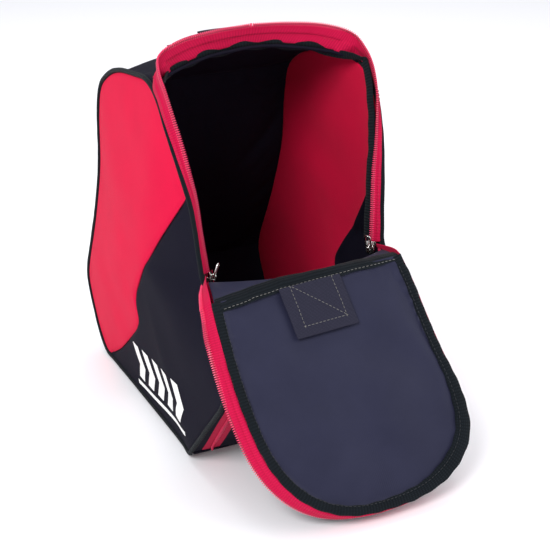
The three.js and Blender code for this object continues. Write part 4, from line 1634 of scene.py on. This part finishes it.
def build_floor():
    clear_selection()
    bpy.ops.mesh.primitive_plane_add(size=14, location=(0, 0, -0.0002))
    floor = bpy.context.object
    floor.name = "studio_floor"
    material = bpy.data.materials.new("studio_paper_white")
    material.use_nodes = True
    tree = material.node_tree
    place = node_in(tree, "ShaderNodeTexCoord").outputs["Object"]
    grain = node_in(tree, "ShaderNodeTexNoise", None, {"Vector": place, "Scale": 300.0, "Detail": 3.0})
    look = bpy.context.scene.bag_looks
    shade = node_in(tree, "ShaderNodeMix", {"data_type": "RGBA"}, {0: grain.outputs["Fac"]})
    tone = linear(to_hex(look.floor))
    shade.inputs[6].default_value = (*[c * 0.985 for c in tone[:3]], 1)
    shade.inputs[7].default_value = tone
    shader = tree.nodes["Principled BSDF"]
    tree.links.new(shade.outputs[2], shader.inputs["Base Color"])
    shader.inputs["Roughness"].default_value = 0.55
    floor.data.materials.append(material)


def build_stage():
    build_camera()
    build_floor()
    for light in LIGHTS:
        soft_light(*light)
    bpy.context.scene.view_settings.view_transform = "Standard"
    world = bpy.context.scene.world or bpy.data.worlds.new("studio")
    bpy.context.scene.world = world
    world.use_nodes = True
    background = world.node_tree.nodes["Background"]
    background.inputs["Color"].default_value = WORLD_TINT
    background.inputs["Strength"].default_value = WORLD_STRENGTH


# ---------------------------------------------------------------- the add-on

class BagLooks(bpy.types.PropertyGroup):
    """Colours that a user would change."""
    red: bpy.props.FloatVectorProperty(
        name="Red cloth", description="Upper cloth of the two sides", subtype="COLOR_GAMMA",
        size=3, min=0, max=1, default=(0.92, 0.09, 0.28))
    black: bpy.props.FloatVectorProperty(
        name="Black cloth", description="Lower cloth, back, top and front", subtype="COLOR_GAMMA",
        size=3, min=0, max=1, default=(0.105, 0.10, 0.165))
    lining: bpy.props.FloatVectorProperty(
        name="Lining", description="Inside of the flap", subtype="COLOR_GAMMA",
        size=3, min=0, max=1, default=(0.185, 0.19, 0.275))
    floor: bpy.props.FloatVectorProperty(
        name="Floor", description="Studio floor", subtype="COLOR_GAMMA",
        size=3, min=0, max=1, default=(0.99, 0.99, 1.0))


class BagSizes(bpy.types.PropertyGroup):
    """Sizes of the trim that a user would change. The bag's own size comes from the frame's pieces."""
    piping_radius: bpy.props.FloatProperty(
        name="Piping radius", description="Half the thickness of the piping round the sides",
        subtype="DISTANCE", unit="LENGTH", min=0.001, max=0.06, default=0.0025)
    panel_thickness: bpy.props.FloatProperty(
        name="Panel thickness", description="Padded cloth of the sides, front, back and heel",
        subtype="DISTANCE", unit="LENGTH", min=0.001, max=0.06, default=0.0034)
    binding_width: bpy.props.FloatProperty(
        name="Binding width", description="Ribbed tape sewn over the raw edges",
        subtype="DISTANCE", unit="LENGTH", min=0.001, max=0.06, default=0.0096)
    handle_width: bpy.props.FloatProperty(
        name="Handle width", description="Webbing of the carrying handle",
        subtype="DISTANCE", unit="LENGTH", min=0.001, max=0.06, default=0.025)
    handle_rise: bpy.props.FloatProperty(
        name="Handle rise", description="How far the middle of the handle stands above its ends",
        subtype="DISTANCE", unit="LENGTH", min=0.001, max=0.06, default=0.0075)


class BAG_OT_stage(bpy.types.Operator):
    """Adds the camera, the lights and the floor"""
    bl_idname = "bag.stage"
    bl_label = "Studio"
    bl_options = {"REGISTER", "UNDO"}

    def execute(self, context):
        build_stage()
        return {"FINISHED"}


class BAG_OT_sides(bpy.types.Operator):
    """Makes the red and black cloth of both sides"""
    bl_idname = "bag.sides"
    bl_label = "Side panels"
    bl_options = {"REGISTER", "UNDO"}

    def execute(self, context):
        build_sides()
        return {"FINISHED"}


class BAG_OT_piping(bpy.types.Operator):
    """Makes the piping round both sides"""
    bl_idname = "bag.piping"
    bl_label = "Piping"
    bl_options = {"REGISTER", "UNDO"}

    def execute(self, context):
        build_piping()
        return {"FINISHED"}


class BAG_OT_prints(bpy.types.Operator):
    """Makes the generic printed chevrons"""
    bl_idname = "bag.prints"
    bl_label = "Side prints"
    bl_options = {"REGISTER", "UNDO"}

    def execute(self, context):
        build_prints()
        return {"FINISHED"}


class BAG_OT_front(bpy.types.Operator):
    """Makes the front and the closed stretch of the zip"""
    bl_idname = "bag.front"
    bl_label = "Front"
    bl_options = {"REGISTER", "UNDO"}

    def execute(self, context):
        build_front()
        return {"FINISHED"}


class BAG_OT_back(bpy.types.Operator):
    """Makes the back and heel panels"""
    bl_idname = "bag.back"
    bl_label = "Back and heel"
    bl_options = {"REGISTER", "UNDO"}

    def execute(self, context):
        build_back()
        return {"FINISHED"}


class BAG_OT_top(bpy.types.Operator):
    """Makes the top panel"""
    bl_idname = "bag.top"
    bl_label = "Top"
    bl_options = {"REGISTER", "UNDO"}

    def execute(self, context):
        build_top()
        return {"FINISHED"}


class BAG_OT_base(bpy.types.Operator):
    """Makes the base panel and its board"""
    bl_idname = "bag.base"
    bl_label = "Base"
    bl_options = {"REGISTER", "UNDO"}

    def execute(self, context):
        build_base()
        return {"FINISHED"}


class BAG_OT_opening(bpy.types.Operator):
    """Makes the zip tape, coil and bindings of the opening"""
    bl_idname = "bag.opening"
    bl_label = "Opening"
    bl_options = {"REGISTER", "UNDO"}

    def execute(self, context):
        build_opening()
        return {"FINISHED"}


class BAG_OT_flap(bpy.types.Operator):
    """Makes the flap's cloth, binding, tape and coil"""
    bl_idname = "bag.flap"
    bl_label = "Flap"
    bl_options = {"REGISTER", "UNDO"}

    def execute(self, context):
        build_flap()
        return {"FINISHED"}


class BAG_OT_fold(bpy.types.Operator):
    """Makes the cloth and the ribbed binding along the fold"""
    bl_idname = "bag.fold"
    bl_label = "Fold"
    bl_options = {"REGISTER", "UNDO"}

    def execute(self, context):
        build_fold()
        return {"FINISHED"}


class BAG_OT_patches(bpy.types.Operator):
    """Makes the sewn patches of the flap"""
    bl_idname = "bag.patches"
    bl_label = "Patches"
    bl_options = {"REGISTER", "UNDO"}

    def execute(self, context):
        build_patches()
        return {"FINISHED"}


class BAG_OT_sliders(bpy.types.Operator):
    """Makes the zip sliders and their pulls"""
    bl_idname = "bag.sliders"
    bl_label = "Sliders"
    bl_options = {"REGISTER", "UNDO"}

    def execute(self, context):
        build_sliders()
        return {"FINISHED"}


class BAG_OT_handle(bpy.types.Operator):
    """Makes the carrying handle"""
    bl_idname = "bag.handle"
    bl_label = "Handle"
    bl_options = {"REGISTER", "UNDO"}

    def execute(self, context):
        build_handle()
        return {"FINISHED"}


STEPS = (
    BAG_OT_stage, BAG_OT_sides, BAG_OT_piping, BAG_OT_prints,
    BAG_OT_front, BAG_OT_back, BAG_OT_top, BAG_OT_base,
    BAG_OT_opening, BAG_OT_flap, BAG_OT_fold, BAG_OT_patches,
    BAG_OT_sliders, BAG_OT_handle,
)


class BAG_PT_pieces(bpy.types.Panel):
    """Lists the pieces of the bag, its sizes and its colours."""
    bl_label = "Boot bag"
    bl_idname = "BAG_PT_pieces"
    bl_space_type = "VIEW_3D"
    bl_region_type = "UI"
    bl_category = "Boot bag"

    def draw(self, context):
        for key in ("piping_radius", "panel_thickness", "binding_width", "handle_width", "handle_rise"):
            self.layout.prop(context.scene.bag_sizes, key)
        for key in ("red", "black", "lining", "floor"):
            self.layout.prop(context.scene.bag_looks, key)
        for step in STEPS:
            self.layout.operator(step.bl_idname)


CLASSES = (BagLooks, BagSizes, *STEPS, BAG_PT_pieces)


def register():
    for kind in CLASSES:
        bpy.utils.register_class(kind)
    bpy.types.Scene.bag_looks = bpy.props.PointerProperty(type=BagLooks)
    bpy.types.Scene.bag_sizes = bpy.props.PointerProperty(type=BagSizes)


def unregister():
    del bpy.types.Scene.bag_looks
    del bpy.types.Scene.bag_sizes
    for kind in reversed(CLASSES):
        bpy.utils.unregister_class(kind)


def main():
    register()
    bpy.context.scene.frame_start = 1
    bpy.context.scene.frame_end = 30
    for step in STEPS:
        getattr(bpy.ops.bag, step.bl_idname.removeprefix("bag."))()


if __name__ == "__main__":
    main()
